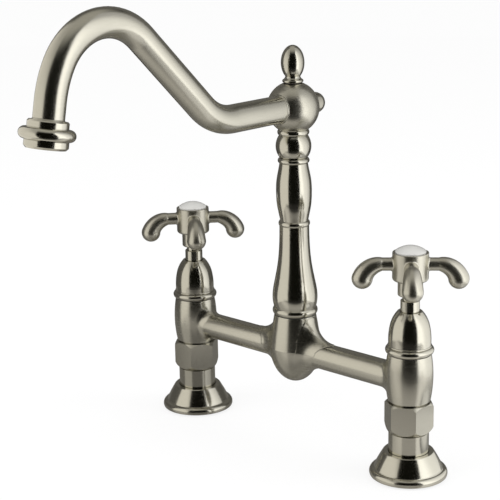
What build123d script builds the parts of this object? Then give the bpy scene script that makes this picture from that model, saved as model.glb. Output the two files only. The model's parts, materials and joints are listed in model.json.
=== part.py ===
"""Bridge kitchen faucet: two quarter turn valves on a one piece bridge, with a swivelling bent spout.

Millimetres. The deck is z = 0, +Z is up, X runs along the bridge with the hot side at -X, and the
spout reaches towards -Y. The origin lies on the deck, midway between the two inlets.
"""

from build123d import *
import os
from math import cos, hypot, radians, sin, sqrt

os.makedirs("parts", exist_ok=True)

# --- Clearances -------------------------------------------------------------------------------
FIT = 0.05  # radial clearance of turned and threaded fits
DROP_FIT = 0.1  # radial clearance of pieces that drop into a cup
FACE_GAP = 0.05  # play between two faces that turn on each other
LOOSE = 0.4  # radial gap where a piece only slides over another
EDGE_BREAK = 0.4  # small chamfer on turned edges

# --- Overall sizes ----------------------------------------------------------------------------
LEG_SPACING = 203.2  # inlet centres, eight inches
ARM_R = 9.4  # horizontal arms of the bridge
WATERWAY_R = 6.0

# --- Deck flange and riser --------------------------------------------------------------------
RISER_R = 13.75
RISER_HEIGHT = 31.2
INLET_R = 9.3  # minor radius of the half inch pipe thread in the riser's foot
INLET_DEPTH = 14.0
INLET_BORE_R = 6.5
FLANGE_R = 26.7
FLANGE_HEIGHT = 17.0
FLANGE_BEAD_R = 3.4
FLANGE_BEAD_RISE = 1.6  # centre of the bead above the deck
FLANGE_COVE = 0.7  # height of the hollow between bead and bell
FLANGE_LEDGE = 3.3  # how far the bell stands in from the bead
FLANGE_RIM = 3.7  # width of the bell's top round the riser
FLANGE_WALL = 2.4
BELL_FULLNESS = 0.54  # how much of the bell's taper is left at two thirds of its height
GASKET_THICKNESS = 1.5
GASKET_WIDTH = 3.0
GASKET_OFFSET = 1.5  # gasket's outer edge outside the bead's centre

# --- Union ------------------------------------------------------------------------------------
NUT_ACROSS_CORNERS = 34.2
NUT_LENGTH = 20.8
NUT_WALL = 1.9  # least wall, at the middle of a flat
NUT_WEB = 4.8
NUT_SKIRT = 0.25  # how far the nut's foot stands out over the riser
NUT_FOOT_CONE = 4.6  # height over which the corners are rounded off at the foot
NUT_TOP_CONE = 2.2
NUT_GAP_BELOW = 0.4
NUT_GAP_ABOVE = 1.6
NUT_TURN = {"hot": 0.0, "cold": -37.0}  # direction of one corner of the hexagon
TAIL_NECK_R = 10.6
TAIL_COLLAR_HEIGHT = 3.75
TAIL_COLLAR_FIT = 0.3
TAIL_DEPTH = 11.0  # how far the tailpiece is screwed into the riser
UNION_WASHER = 2.5

# --- Valve barrel -----------------------------------------------------------------------------
BARREL_HEIGHT = 32.6
BARREL_FOOT_R = 14.5
BARREL_BELLY_R = 16.1
BARREL_TOP_R = 14.7
BARREL_BLEND = 8.5
ARM_RISE = 13.3  # arm axis above the barrel's foot
SEAT_RISE = 4.5  # valve seat above the barrel's foot
CHAMBER_HEIGHT = 13.5

# --- Bonnet -----------------------------------------------------------------------------------
BONNET_GASKET = 0.5
BONNET_R = 14.4
BONNET_WALL = 2.5
BONNET_RING_BULGE = 2.0
BONNET_RING_HEIGHT = 4.7
BONNET_LIP_BULGE = 0.5
BONNET_LIP_HEIGHT = 1.2
BONNET_HEIGHT = 28.9
BONNET_DOME_HEIGHT = 20.0
BONNET_FLANK_TAPER = 1.05  # how far the dome has drawn in at half its height
BONNET_RIM = 1.5  # flat round the guide at the bonnet's top
BONNET_CROWN = 3.0  # thickness of metal over the hollow

# --- Cartridge and spindle --------------------------------------------------------------------
CARTRIDGE_STEP = 1.8  # bonnet thread outside the barrel thread
CARTRIDGE_COLLAR_HEIGHT = 9.4
CHAMBER_LEDGE = 1.1  # barrel thread outside the valve chamber
CUP_WALL = 1.25
CUP_GAP = 0.5  # the cup stops short of the valve seat
CUP_WINDOW = 8.0  # width of the water windows in the cup
DISC_THICKNESS = 2.8
SEAL_THICKNESS = 2.1
PORT_R = 2.2
PORT_EDGE = 1.05  # wall between a port and the disc's rim
NOTCH_R = 3.5
NOTCH_OFFSET = 1.3  # notch centre outside the ports' circle
SPINDLE_R = 5.15
SPINDLE_NECK_R = 3.2
SPINDLE_NECK_HEIGHT = 2.7
SHOULDER_LEDGE = 1.25
SHOULDER_HEIGHT = 2.8
SQUARE_LENGTH = 14.8
SQUARE_INSET = 0.1  # flats of the square stand in from its corners' fit
TANG_WIDTH = 2.4
TANG_LENGTH = 9.0
TANG_HEIGHT = 1.2
SPINDLE_RING_R = 0.7  # section radius of the spindle's O-rings
SPINDLE_RINGS = (5.7, 11.2)  # O-ring levels below the spindle's shoulder
RING_PLAY = 0.6  # width of a ring's groove beyond its section
GUIDE_WALL = 1.25
GUIDE_HEIGHT = 7.8  # visible above the bonnet
GUIDE_THREAD_WALL = 1.5
GUIDE_THREAD_HEIGHT = 4.0

# --- Cross handle -----------------------------------------------------------------------------
HANDLE_GAP = 3.0  # spindle left bare between the guide and the handle
HANDLE_COLLAR_R = 8.35
HANDLE_COLLAR_HEIGHT = 10.5
HANDLE_FOOT_ROUND = 1.2
HANDLE_HUB_R = 12.05
HANDLE_HUB_HEIGHT = 19.2
HANDLE_HUB_ROUND = 1.9
HANDLE_RIM_ROUND = 0.4
HANDLE_ARM_RISE = 21.5  # arm centre above the handle's foot
HANDLE_ARM_R = 4.4
HANDLE_TIP_R = 7.0
HANDLE_SWELL = 0.7  # exponent of the arm's swelling towards its end
HANDLE_RUN = 18.6  # straight stretch of an arm, from the handle's axis
HANDLE_BEND_R = 13.7
HANDLE_DROOP = 73.5
HANDLE_ROOT_FILLET = 1.2
HANDLE_TURN = {"hot": -40.4, "cold": -50.4}  # direction of one arm about the valve axis
SCREW_R = 1.95
SCREW_PLAY = 0.2
SCREW_HEAD_R = 3.6
SCREW_HEAD_HEIGHT = 3.0
SCREW_HEAD_DEPTH = 5.0  # from the cup's floor down to the seat of the head
SCREW_LENGTH = 13.0
SCREW_WEB = 1.7
SCREW_KEY = 3.0
BUTTON_RIM = 1.65  # wall of the cup round the button
BUTTON_CUP_DEPTH = 3.9
BUTTON_EDGE = 4.8
BUTTON_DOME = 3.5
BUTTON_ROUND = 0.8

# --- Centre hub of the bridge -----------------------------------------------------------------
HUB_NECK_R = 14.9
HUB_BELLY_R = 18.5
HUB_BELLY_RISE = 2.7  # widest level above the arm axis
HUB_HEIGHT = 50.5  # from the rounded bottom to the seat of the spout
HUB_DOME = 26.5
HUB_WAIST_DROP = 5.8  # level below the top where the hub starts to flare
HUB_WAIST_FLARE = 1.0
HUB_BLEND = 12.0
HUB_CHAMBER_R = 9.0
HUB_CHAMBER_DROP = 9.3  # floor of the chamber below the arm axis

# --- Spout column -----------------------------------------------------------------------------
SWIVEL_WASHER = 0.5
SWIVEL_WALL = 3.45  # hub metal round the swivel spigot
SWIVEL_LENGTH = 23.4
SWIVEL_RING_R = 0.75  # section radius of the swivel O-rings
SWIVEL_RING_DROP = 4.8  # lower O-ring below the retaining screw
SWIVEL_RING_RISE = 3.6  # upper O-ring above the retaining screw
SCREW_GROOVE_WIDTH = 3.4
SCREW_GROOVE_DEPTH = 1.45
SCREW_GROOVE_DROP = 12.6  # below the column's foot
GRUB_R = 2.45
GRUB_LENGTH = 5.0
GRUB_TIP_R = 1.4
GRUB_TIP_PLAY = 0.6  # tip to the groove's bottom, and screw to the spigot
GRUB_KEY = 2.5
GRUB_KEY_DEPTH = 2.0
COLUMN_WALL = 3.95  # spigot metal round the water passage
FOOT_RING_BULGE = 1.2
FOOT_RING_HEIGHT = 4.9
PEAR_R = 16.0
PEAR_HEIGHT = 59.4
BEAD_HEIGHT = 3.8
BEAD_BULGE = 1.2
VASE_R = 12.5
VASE_HEIGHT = 40.8
SMALL_BEAD_HEIGHT = 3.8
BULB_R = 12.4
BULB_HEIGHT = 15.8
NECK_R = 9.9
BULB_NECK_R = 9.6
TOP_STEP = 0.6  # rise from the top bead to the ball's seat

# --- Ball, finial and plug --------------------------------------------------------------------
BALL_R = 18.2
BALL_SEAT_R = 10.85
BALL_SPIGOT_WALL = 1.0
BALL_SPIGOT_GAP = 0.1872  # the column's spigot in the ball stops short of the spout tube
BALL_BORE_R = 7.0
BALL_BORE_RISE = 5.0  # top of the water passage above the ball's centre
FINIAL_SEAT_R = 6.3
FINIAL_FLARE = 1.0
FINIAL_EGG_R = 8.1
FINIAL_EGG_RISE = 12.0
FINIAL_WAIST_TURN = 50.0  # the egg's curve starts this far below its middle
FINIAL_HEIGHT = 25.9
FINIAL_STUB_R = 3.9
FINIAL_STUB_LENGTH = 8.0
PLUG_R = 7.4
PLUG_SINK = 0.25  # depth of the spot face below the ball's surface
PLUG_STUB_R = 4.9
PLUG_STUB_LENGTH = 7.0
PLUG_LENGTH = 14.0
PLUG_HOLE_WALL = 1.0
SPOT_PLAY = 0.3  # spot face round the plug
SEAL_WASHER = 0.4
SEAL_INSET = 0.25  # washers stand in from the pieces they seal

# --- Spout tube -------------------------------------------------------------------------------
TUBE_R = 9.525
TUBE_WALL = 1.0
TUBE_RISE = 0.5  # tube axis above the ball's centre
TUBE_SEAT_GAP = 4.1  # from the finial's stub to the tube's inner end
TUBE_RUN = 60.8  # level stretch, from the column's axis
RISE_BEND_R = 40.2
RISE_ANGLE = 44.3
RISE_LENGTH = 70.7
ARCH_R = 41.2
ARCH_TURN = 104.3
DROP_R = 67.9
DROP_TURN = 18.9
DROP_LENGTH = 15.4

# --- Outlet -----------------------------------------------------------------------------------
FERRULE_WALL = 2.9
FERRULE_COLLAR = 4.4
FERRULE_CHAMFER = 0.8
FERRULE_STEP = 1.2  # ledge between the collar and the bead
FERRULE_BULGE = 4.6
FERRULE_BEAD = 7.3
FERRULE_LEDGE = 1.2  # rest for the tube's end, and wall beside the thread
TUBE_INSERT = 4.6
AERATOR_GAP = 0.15
AERATOR_SKIRT = 4.9
AERATOR_SKIRT_STEP = 0.85  # skirt outside the ferrule's collar
AERATOR_CHAMFER = 1.4
AERATOR_THREAD = 4.2
AERATOR_THREAD_STEP = 2.3
AERATOR_WALL = 1.4
AERATOR_LIP = 0.6
AERATOR_LIP_HEIGHT = 0.8
AERATOR_WASHER = 1.3
AERATOR_FLOOR = 2.0
AERATOR_HOLE_R = 0.8
AERATOR_HOLE_PITCH = 3.0
AERATOR_HOLES = (6, 12)  # holes in each ring round the middle one

# --- Radii that follow from walls and fits ----------------------------------------------------
NUT_CORNER_R = NUT_ACROSS_CORNERS / 2
NUT_FLAT_R = NUT_CORNER_R * cos(radians(30))
NUT_BORE_R = NUT_FLAT_R - NUT_WALL
SPIGOT_R = NUT_BORE_R - FIT
TAIL_COLLAR_R = NUT_BORE_R - TAIL_COLLAR_FIT
GASKET_R = FLANGE_R - FLANGE_BEAD_R + GASKET_OFFSET
BONNET_THREAD_R = BONNET_R - BONNET_WALL
CARTRIDGE_THREAD_R = BONNET_THREAD_R - CARTRIDGE_STEP
CHAMBER_R = CARTRIDGE_THREAD_R - CHAMBER_LEDGE
CUP_R = CHAMBER_R - 2 * FIT
DISC_R = CUP_R - CUP_WALL - DROP_FIT
PORT_CIRCLE_R = DISC_R - PORT_R - PORT_EDGE
SPINDLE_SQUARE = 2 * (SPINDLE_R - FIT) * cos(radians(45)) - 2 * SQUARE_INSET
SHOULDER_R = SPINDLE_R + SHOULDER_LEDGE
GUIDE_R = SPINDLE_R + FIT + GUIDE_WALL
GUIDE_THREAD_R = SHOULDER_R + GUIDE_THREAD_WALL
GUIDE_HEX = 2 * (GUIDE_THREAD_R + DROP_FIT)
BUTTON_R = HANDLE_HUB_R - BUTTON_RIM - DROP_FIT
SWIVEL_R = HUB_NECK_R - SWIVEL_WALL
COLUMN_BORE_R = SWIVEL_R - COLUMN_WALL
FOOT_RING_R = HUB_NECK_R + FOOT_RING_BULGE
BALL_SPIGOT_R = COLUMN_BORE_R + BALL_SPIGOT_WALL
FERRULE_R = TUBE_R + FERRULE_WALL
FERRULE_BEAD_R = FERRULE_R + FERRULE_BULGE
FERRULE_PASSAGE_R = TUBE_R - FERRULE_LEDGE
AERATOR_R = FERRULE_R + AERATOR_SKIRT_STEP
AERATOR_THREAD_R = AERATOR_R - AERATOR_THREAD_STEP
AERATOR_BORE_R = AERATOR_THREAD_R - AERATOR_WALL

# --- Heights that follow from the stack -------------------------------------------------------
NUT_FOOT = RISER_HEIGHT + NUT_GAP_BELOW
NUT_TOP = NUT_FOOT + NUT_LENGTH
COLLAR_FOOT = NUT_FOOT + NUT_WEB + FACE_GAP
COLLAR_TOP = COLLAR_FOOT + TAIL_COLLAR_HEIGHT
SPIGOT_FOOT = COLLAR_TOP + UNION_WASHER
BARREL_FOOT = NUT_TOP + NUT_GAP_ABOVE
BARREL_TOP = BARREL_FOOT + BARREL_HEIGHT
ARM_AXIS = BARREL_FOOT + ARM_RISE
SEAT_LEVEL = BARREL_FOOT + SEAT_RISE
CHAMBER_TOP = SEAT_LEVEL + CHAMBER_HEIGHT
FIXED_DISC_FOOT = SEAT_LEVEL + SEAL_THICKNESS
MOVING_DISC_FOOT = FIXED_DISC_FOOT + DISC_THICKNESS + FACE_GAP
SPINDLE_FOOT = MOVING_DISC_FOOT + DISC_THICKNESS
CUP_TOP = SPINDLE_FOOT + SPINDLE_NECK_HEIGHT
BONNET_FOOT = BARREL_TOP + BONNET_GASKET
BONNET_TOP = BONNET_FOOT + BONNET_HEIGHT
CARTRIDGE_TOP = BARREL_TOP + CARTRIDGE_COLLAR_HEIGHT
GUIDE_FOOT = CARTRIDGE_TOP - GUIDE_THREAD_HEIGHT
GUIDE_TOP = BONNET_TOP + GUIDE_HEIGHT
SHOULDER_TOP = GUIDE_FOOT - FACE_GAP
SHOULDER_FOOT = SHOULDER_TOP - SHOULDER_HEIGHT
HANDLE_FOOT = GUIDE_TOP + HANDLE_GAP
HUB_FOOT = HANDLE_FOOT + HANDLE_COLLAR_HEIGHT
HUB_RIM = HUB_FOOT + HANDLE_HUB_HEIGHT
CUP_FLOOR = HUB_RIM - BUTTON_CUP_DEPTH
SCREW_SEAT = CUP_FLOOR - SCREW_HEAD_DEPTH
SQUARE_TOP = SCREW_SEAT - SCREW_WEB
SQUARE_FOOT = SQUARE_TOP - SQUARE_LENGTH
CASTING_HUB_FOOT = ARM_AXIS + HUB_BELLY_RISE - HUB_DOME
CASTING_HUB_TOP = CASTING_HUB_FOOT + HUB_HEIGHT
COLUMN_FOOT = CASTING_HUB_TOP + SWIVEL_WASHER + FACE_GAP
SCREW_LEVEL = COLUMN_FOOT - SCREW_GROOVE_DROP
SWIVEL_RINGS = (SCREW_LEVEL - SWIVEL_RING_DROP, SCREW_LEVEL + SWIVEL_RING_RISE)
VASE_FOOT = COLUMN_FOOT + FOOT_RING_HEIGHT + PEAR_HEIGHT + BEAD_HEIGHT
BULB_FOOT = VASE_FOOT + VASE_HEIGHT + SMALL_BEAD_HEIGHT
COLUMN_TOP = BULB_FOOT + BULB_HEIGHT + BEAD_HEIGHT + TOP_STEP
BALL_CENTRE = COLUMN_TOP + sqrt(BALL_R**2 - BALL_SEAT_R**2)
FINIAL_SEAT = BALL_CENTRE + sqrt(BALL_R**2 - FINIAL_SEAT_R**2)
TUBE_LEVEL = BALL_CENTRE + TUBE_RISE
BALL_SPIGOT_HEIGHT = TUBE_LEVEL - TUBE_R - BALL_SPIGOT_GAP - COLUMN_TOP
TUBE_START = FINIAL_STUB_R + TUBE_SEAT_GAP  # inner end of the tube, from the column's axis
PLUG_SEAT = sqrt(BALL_R**2 - (PLUG_R + SPOT_PLAY + TUBE_RISE) ** 2) - PLUG_SINK
TUBE_STOP = TUBE_INSERT + LOOSE  # end of the tube's socket in the ferrule
FERRULE_END = FERRULE_COLLAR + FERRULE_BEAD
AERATOR_SEAT = FERRULE_END + AERATOR_GAP
AERATOR_TOP = AERATOR_SEAT - AERATOR_THREAD
AERATOR_END = AERATOR_SEAT + AERATOR_SKIRT

LEGS = {"hot": -LEG_SPACING / 2, "cold": LEG_SPACING / 2}


# --- Planes and axes --------------------------------------------------------------------------
def upright(x=0.0, turn=0.0):
    """Sketch plane through an upright axis: local x is the radius, local y the height."""
    along = (cos(radians(turn)), sin(radians(turn)), 0)
    return Plane(origin=(x, 0, 0), x_dir=along, z_dir=(along[1], -along[0], 0))


def level(height, x=0.0, turn=0.0):
    """Horizontal sketch plane centred on an upright axis."""
    return Plane(origin=(x, 0, height), x_dir=(cos(radians(turn)), sin(radians(turn)), 0))


def upright_axis(x=0.0):
    return Axis((x, 0, 0), (0, 0, 1))


def ring(x, inner, outer, low, high):
    """Flat washer, gasket or short tube about an upright axis."""
    with BuildPart() as piece:
        with BuildSketch(level(low, x)):
            Circle(outer)
            Circle(inner, mode=Mode.SUBTRACT)
        extrude(amount=high - low)
    return piece.part


def o_rings(x, heights, section_r, outer_r):
    """Rubber rings round an upright shaft, one solid for each groove."""
    with BuildPart() as piece:
        for height in heights:
            with Locations((x, 0, height)):
                Torus(outer_r - section_r, section_r)
    return piece.part


def save(part, name):
    part.label = name
    export_step(part, f"parts/{name}.step")


# --- Leg: flange, riser and union -------------------------------------------------------------
def deck_flange(x):
    """Bell shaped shell that slides over the riser, with a bead round its foot."""
    hole_r = RISER_R + LOOSE
    bead_centre_r = FLANGE_R - FLANGE_BEAD_R
    foot_r = bead_centre_r + sqrt(FLANGE_BEAD_R**2 - FLANGE_BEAD_RISE**2)
    waist_r = FLANGE_R - FLANGE_LEDGE
    crease_r = waist_r + FLANGE_COVE
    crease = FLANGE_BEAD_RISE + sqrt(FLANGE_BEAD_R**2 - (crease_r - bead_centre_r) ** 2)
    top_r = RISER_R + FLANGE_RIM
    bell_r = top_r + BELL_FULLNESS * (waist_r - top_r)
    inner_r = bead_centre_r - FLANGE_WALL
    with BuildPart() as flange:
        with BuildSketch(upright(x)):
            with BuildLine():
                ThreePointArc((foot_r, 0), (FLANGE_R, FLANGE_BEAD_RISE), (crease_r, crease))
                TangentArc((crease_r, crease), (waist_r, crease + FLANGE_COVE), tangent=(-1, 0))
                bell = ThreePointArc(
                    (waist_r, crease + FLANGE_COVE),
                    (bell_r, FLANGE_HEIGHT * 0.65),
                    (top_r, FLANGE_HEIGHT - EDGE_BREAK),
                )
                Polyline(
                    bell @ 1,
                    (top_r - EDGE_BREAK, FLANGE_HEIGHT),
                    (hole_r, FLANGE_HEIGHT),
                    (hole_r, FLANGE_HEIGHT - FLANGE_WALL),
                    (inner_r, crease - FLANGE_WALL / 2),
                    (inner_r, 0),
                    (foot_r, 0),
                )
            make_face()
        revolve(axis=upright_axis(x))
        with BuildSketch(level(0, x)):
            Circle(GASKET_R + FIT)
            Circle(GASKET_R - GASKET_WIDTH - FIT, mode=Mode.SUBTRACT)
        extrude(amount=GASKET_THICKNESS, mode=Mode.SUBTRACT)
    return flange.part


def deck_gasket(x):
    return ring(x, GASKET_R - GASKET_WIDTH, GASKET_R, 0, GASKET_THICKNESS)


def riser(x):
    """Round pillar on the deck: pipe thread in its foot, tailpiece screwed into its top."""
    with BuildPart() as pillar:
        with BuildSketch(level(0, x)):
            Circle(RISER_R)
        extrude(amount=RISER_HEIGHT)
        chamfer(pillar.edges().filter_by(GeomType.CIRCLE), EDGE_BREAK)
        with BuildSketch(level(0, x)):
            Circle(INLET_R)
        extrude(amount=INLET_DEPTH, mode=Mode.SUBTRACT)
        with BuildSketch(level(0, x)):
            Circle(INLET_BORE_R)
        extrude(amount=RISER_HEIGHT, mode=Mode.SUBTRACT)
        with BuildSketch(level(RISER_HEIGHT, x)):
            Circle(TAIL_NECK_R + FIT)
        extrude(amount=-(TAIL_DEPTH + FACE_GAP), mode=Mode.SUBTRACT)
    return pillar.part


def tailpiece(x):
    """Short pipe whose collar the union nut pulls up against the washer."""
    with BuildPart() as pipe:
        with BuildSketch(level(RISER_HEIGHT - TAIL_DEPTH, x)):
            Circle(TAIL_NECK_R)
        extrude(amount=COLLAR_FOOT - RISER_HEIGHT + TAIL_DEPTH)
        with BuildSketch(level(COLLAR_FOOT, x)):
            Circle(TAIL_COLLAR_R)
        extrude(amount=TAIL_COLLAR_HEIGHT)
        with BuildSketch(level(COLLAR_TOP, x)):
            Circle(INLET_BORE_R)
        extrude(amount=-(COLLAR_TOP - RISER_HEIGHT + TAIL_DEPTH), mode=Mode.SUBTRACT)
    return pipe.part


def union_washer(x):
    return ring(x, INLET_BORE_R, TAIL_COLLAR_R - FIT, COLLAR_TOP, SPIGOT_FOOT)


def union_nut(x, turn):
    """Hexagon nut, its corners turned to a cone at both ends."""
    foot_r = RISER_R + NUT_SKIRT
    with BuildPart() as nut:
        with BuildSketch(level(NUT_FOOT, x, turn)):
            RegularPolygon(NUT_CORNER_R, 6)
        extrude(amount=NUT_LENGTH)
        with BuildSketch(upright(x)):
            with BuildLine():
                foot_cone = RadiusArc(
                    (foot_r, NUT_FOOT), (NUT_CORNER_R, NUT_FOOT + NUT_FOOT_CONE), -2 * NUT_FOOT_CONE
                )
                Polyline(
                    foot_cone @ 1,
                    (NUT_CORNER_R, NUT_TOP - NUT_TOP_CONE),
                    (NUT_FLAT_R, NUT_TOP),
                    (0, NUT_TOP),
                    (0, NUT_FOOT),
                    foot_cone @ 0,
                )
            make_face()
        revolve(axis=upright_axis(x), mode=Mode.INTERSECT)
        with BuildSketch(level(NUT_FOOT, x)):
            Circle(TAIL_NECK_R + 2 * FIT)
        extrude(amount=NUT_LENGTH, mode=Mode.SUBTRACT)
        with BuildSketch(level(NUT_FOOT + NUT_WEB, x)):
            Circle(NUT_BORE_R)
        extrude(amount=NUT_LENGTH - NUT_WEB, mode=Mode.SUBTRACT)
    return nut.part


# --- Bridge casting ---------------------------------------------------------------------------
def bridge_casting():
    """Two valve barrels, two arms and the centre hub in one casting, bored for the water."""
    belly = CASTING_HUB_FOOT + HUB_DOME
    with BuildPart() as casting:
        with BuildSketch(Plane.YZ.offset(LEGS["hot"])):
            with Locations((0, ARM_AXIS)):
                Circle(ARM_R)
        extrude(amount=LEG_SPACING)

        with BuildSketch(upright(0, 90)):
            with BuildLine():
                Line((0, CASTING_HUB_TOP), (HUB_NECK_R, CASTING_HUB_TOP))
                ThreePointArc(
                    (HUB_NECK_R, CASTING_HUB_TOP),
                    (HUB_NECK_R + HUB_WAIST_FLARE, CASTING_HUB_TOP - HUB_WAIST_DROP),
                    (HUB_BELLY_R, belly),
                )
                EllipticalCenterArc((0, belly), HUB_BELLY_R, HUB_DOME, 0, arc_size=-90)
                Line((0, CASTING_HUB_FOOT), (0, CASTING_HUB_TOP))
            make_face()
        revolve(axis=upright_axis())
        fillet(arm_seams(casting, 0.0), HUB_BLEND)

        for x in LEGS.values():
            with BuildSketch(upright(x, 90)):
                with BuildLine():
                    Polyline(
                        (0, BARREL_TOP),
                        (0, SPIGOT_FOOT),
                        (SPIGOT_R, SPIGOT_FOOT),
                        (SPIGOT_R, BARREL_FOOT),
                        (BARREL_FOOT_R, BARREL_FOOT),
                    )
                    ThreePointArc(
                        (BARREL_FOOT_R, BARREL_FOOT),
                        (BARREL_BELLY_R, BARREL_FOOT + BARREL_HEIGHT / 2),
                        (BARREL_TOP_R, BARREL_TOP),
                    )
                    Line((BARREL_TOP_R, BARREL_TOP), (0, BARREL_TOP))
                make_face()
            revolve(axis=upright_axis(x))
            fillet(arm_seams(casting, x), BARREL_BLEND)

        with BuildSketch(Plane.YZ.offset(LEGS["hot"])):
            with Locations((0, ARM_AXIS)):
                Circle(WATERWAY_R)
        extrude(amount=LEG_SPACING, mode=Mode.SUBTRACT)
        for x in LEGS.values():
            bore(level(SPIGOT_FOOT, x), INLET_BORE_R, BARREL_HEIGHT)
            bore(level(SEAT_LEVEL, x), CHAMBER_R, BARREL_HEIGHT)
            bore(level(CHAMBER_TOP, x), CARTRIDGE_THREAD_R + FIT, BARREL_HEIGHT)
        bore(level(ARM_AXIS - HUB_CHAMBER_DROP), HUB_CHAMBER_R, HUB_HEIGHT)
        bore(level(COLUMN_FOOT - SWIVEL_LENGTH - LOOSE), SWIVEL_R + FIT, HUB_HEIGHT)
        bore(facing(1, 0, SCREW_LEVEL), GRUB_R + FIT, 2 * HUB_BELLY_R)
    return casting.part


def arm_seams(casting, x):
    """Edges where the arms run into the turned body on the axis at x."""
    curved = casting.edges().filter_by(GeomType.LINE, reverse=True)
    near = curved.filter_by(lambda e: abs(e.center().X - x) < LEG_SPACING / 4)
    return near.filter_by(
        lambda e: all(
            abs(hypot(p.Y, p.Z - ARM_AXIS) - ARM_R) < 0.01 for p in (e @ 0, e @ 0.5, e @ 1)
        )
    )


def bore(plane, radius, depth):
    """Drill a round hole into the piece under construction, along the plane's normal."""
    with BuildSketch(plane) as hole:
        Circle(radius)
    extrude(hole.sketch, amount=depth, mode=Mode.SUBTRACT)


# --- Valve cartridge --------------------------------------------------------------------------
def cartridge_body(x):
    """Screwed into the barrel: cup for the discs below, thread for the bonnet above."""
    cup_foot = SEAT_LEVEL + CUP_GAP
    with BuildPart() as body:
        with BuildSketch(upright(x)):
            with BuildLine():
                Polyline(
                    (SPINDLE_R + FIT, CUP_TOP),
                    (DISC_R + DROP_FIT, CUP_TOP),
                    (DISC_R + DROP_FIT, cup_foot),
                    (CUP_R, cup_foot),
                    (CUP_R, CHAMBER_TOP + FIT),
                    (CARTRIDGE_THREAD_R, CHAMBER_TOP + FIT),
                    (CARTRIDGE_THREAD_R, BARREL_TOP),
                    (BONNET_THREAD_R - FIT, BARREL_TOP),
                    (BONNET_THREAD_R - FIT, CARTRIDGE_TOP),
                    (GUIDE_THREAD_R + FIT, CARTRIDGE_TOP),
                    (GUIDE_THREAD_R + FIT, GUIDE_FOOT),
                    (SHOULDER_R + DROP_FIT, GUIDE_FOOT),
                    (SHOULDER_R + DROP_FIT, SHOULDER_FOOT - FACE_GAP),
                    (SPINDLE_R + FIT, SHOULDER_FOOT - FACE_GAP),
                    close=True,
                )
            make_face()
        revolve(axis=upright_axis(x))
        window_foot = MOVING_DISC_FOOT + LOOSE
        with BuildSketch(Plane.YZ.offset(x - CHAMBER_R)):
            with Locations((0, (window_foot + CUP_TOP) / 2)):
                Rectangle(CUP_WINDOW, CUP_TOP - window_foot)
        extrude(amount=2 * CHAMBER_R, mode=Mode.SUBTRACT)
    return body.part


def ported_disc(x, low, high):
    """Round disc with the two water ports that the moving disc covers and frees."""
    with BuildPart() as disc:
        with BuildSketch(level(low, x)):
            Circle(DISC_R)
            with PolarLocations(PORT_CIRCLE_R, 2, start_angle=90):
                Circle(PORT_R, mode=Mode.SUBTRACT)
        extrude(amount=high - low)
    return disc.part


def seat_seal(x):
    return ported_disc(x, SEAT_LEVEL, FIXED_DISC_FOOT)


def fixed_disc(x):
    return ported_disc(x, FIXED_DISC_FOOT, FIXED_DISC_FOOT + DISC_THICKNESS)


def moving_disc(x):
    """Bow tie shaped ceramic disc; a quarter turn brings its notches over the ports."""
    with BuildPart() as disc:
        with BuildSketch(level(MOVING_DISC_FOOT, x)):
            Circle(DISC_R)
            with PolarLocations(PORT_CIRCLE_R + NOTCH_OFFSET, 2):
                Circle(NOTCH_R, mode=Mode.SUBTRACT)
        extrude(amount=DISC_THICKNESS)
        with BuildSketch(level(SPINDLE_FOOT, x)):
            Rectangle(TANG_WIDTH + 2 * FIT, TANG_LENGTH + 2 * FIT)
        extrude(amount=-(TANG_HEIGHT + FIT), mode=Mode.SUBTRACT)
    return disc.part


def spindle(x, turn):
    """Valve stem: tang in the moving disc, two ring grooves, shoulder, and the handle's square."""
    groove_r = SPINDLE_R - 2 * SPINDLE_RING_R - FIT
    groove = 2 * SPINDLE_RING_R + RING_PLAY
    with BuildPart() as stem:
        with BuildSketch(level(SPINDLE_FOOT, x)):
            Circle(SPINDLE_NECK_R)
        extrude(amount=SPINDLE_NECK_HEIGHT)
        with BuildSketch(level(CUP_TOP, x)):
            Circle(SPINDLE_R)
        extrude(amount=SQUARE_FOOT - CUP_TOP)
        with BuildSketch(level(SHOULDER_FOOT, x)):
            Circle(SHOULDER_R)
        extrude(amount=SHOULDER_HEIGHT)
        with BuildSketch(level(SQUARE_FOOT, x, turn)):
            Rectangle(SPINDLE_SQUARE, SPINDLE_SQUARE)
        extrude(amount=SQUARE_LENGTH - 2 * FIT)
        chamfer(stem.edges().group_by(Axis.Z)[-1], EDGE_BREAK)
        with BuildSketch(level(SPINDLE_FOOT, x)):
            Rectangle(TANG_WIDTH, TANG_LENGTH)
        extrude(amount=-TANG_HEIGHT)
        for drop in SPINDLE_RINGS:
            with BuildSketch(level(SHOULDER_FOOT - drop - groove / 2, x)):
                Circle(SHOULDER_R)
                Circle(groove_r, mode=Mode.SUBTRACT)
            extrude(amount=groove, mode=Mode.SUBTRACT)
        bore(level(SCREW_SEAT, x), SCREW_R + FIT, -(SCREW_LENGTH + LOOSE))
    return stem.part


def spindle_o_rings(x):
    heights = [SHOULDER_FOOT - drop for drop in SPINDLE_RINGS]
    return o_rings(x, heights, SPINDLE_RING_R, SPINDLE_R)


def stem_guide(x):
    """Sleeve round the spindle; its thread traps the spindle's shoulder in the cartridge."""
    with BuildPart() as guide:
        with BuildSketch(level(GUIDE_FOOT, x)):
            Circle(GUIDE_THREAD_R)
        extrude(amount=GUIDE_THREAD_HEIGHT)
        with BuildSketch(level(CARTRIDGE_TOP, x)):
            RegularPolygon(GUIDE_HEX / 2, 6, major_radius=False)
        extrude(amount=GUIDE_THREAD_HEIGHT)
        with BuildSketch(level(CARTRIDGE_TOP, x)):
            Circle(GUIDE_R)
        extrude(amount=GUIDE_TOP - CARTRIDGE_TOP)
        chamfer(guide.edges().group_by(Axis.Z)[-1], EDGE_BREAK)
        bore(level(GUIDE_FOOT, x), SPINDLE_R + FIT, GUIDE_TOP - GUIDE_FOOT)
    return guide.part


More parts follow.
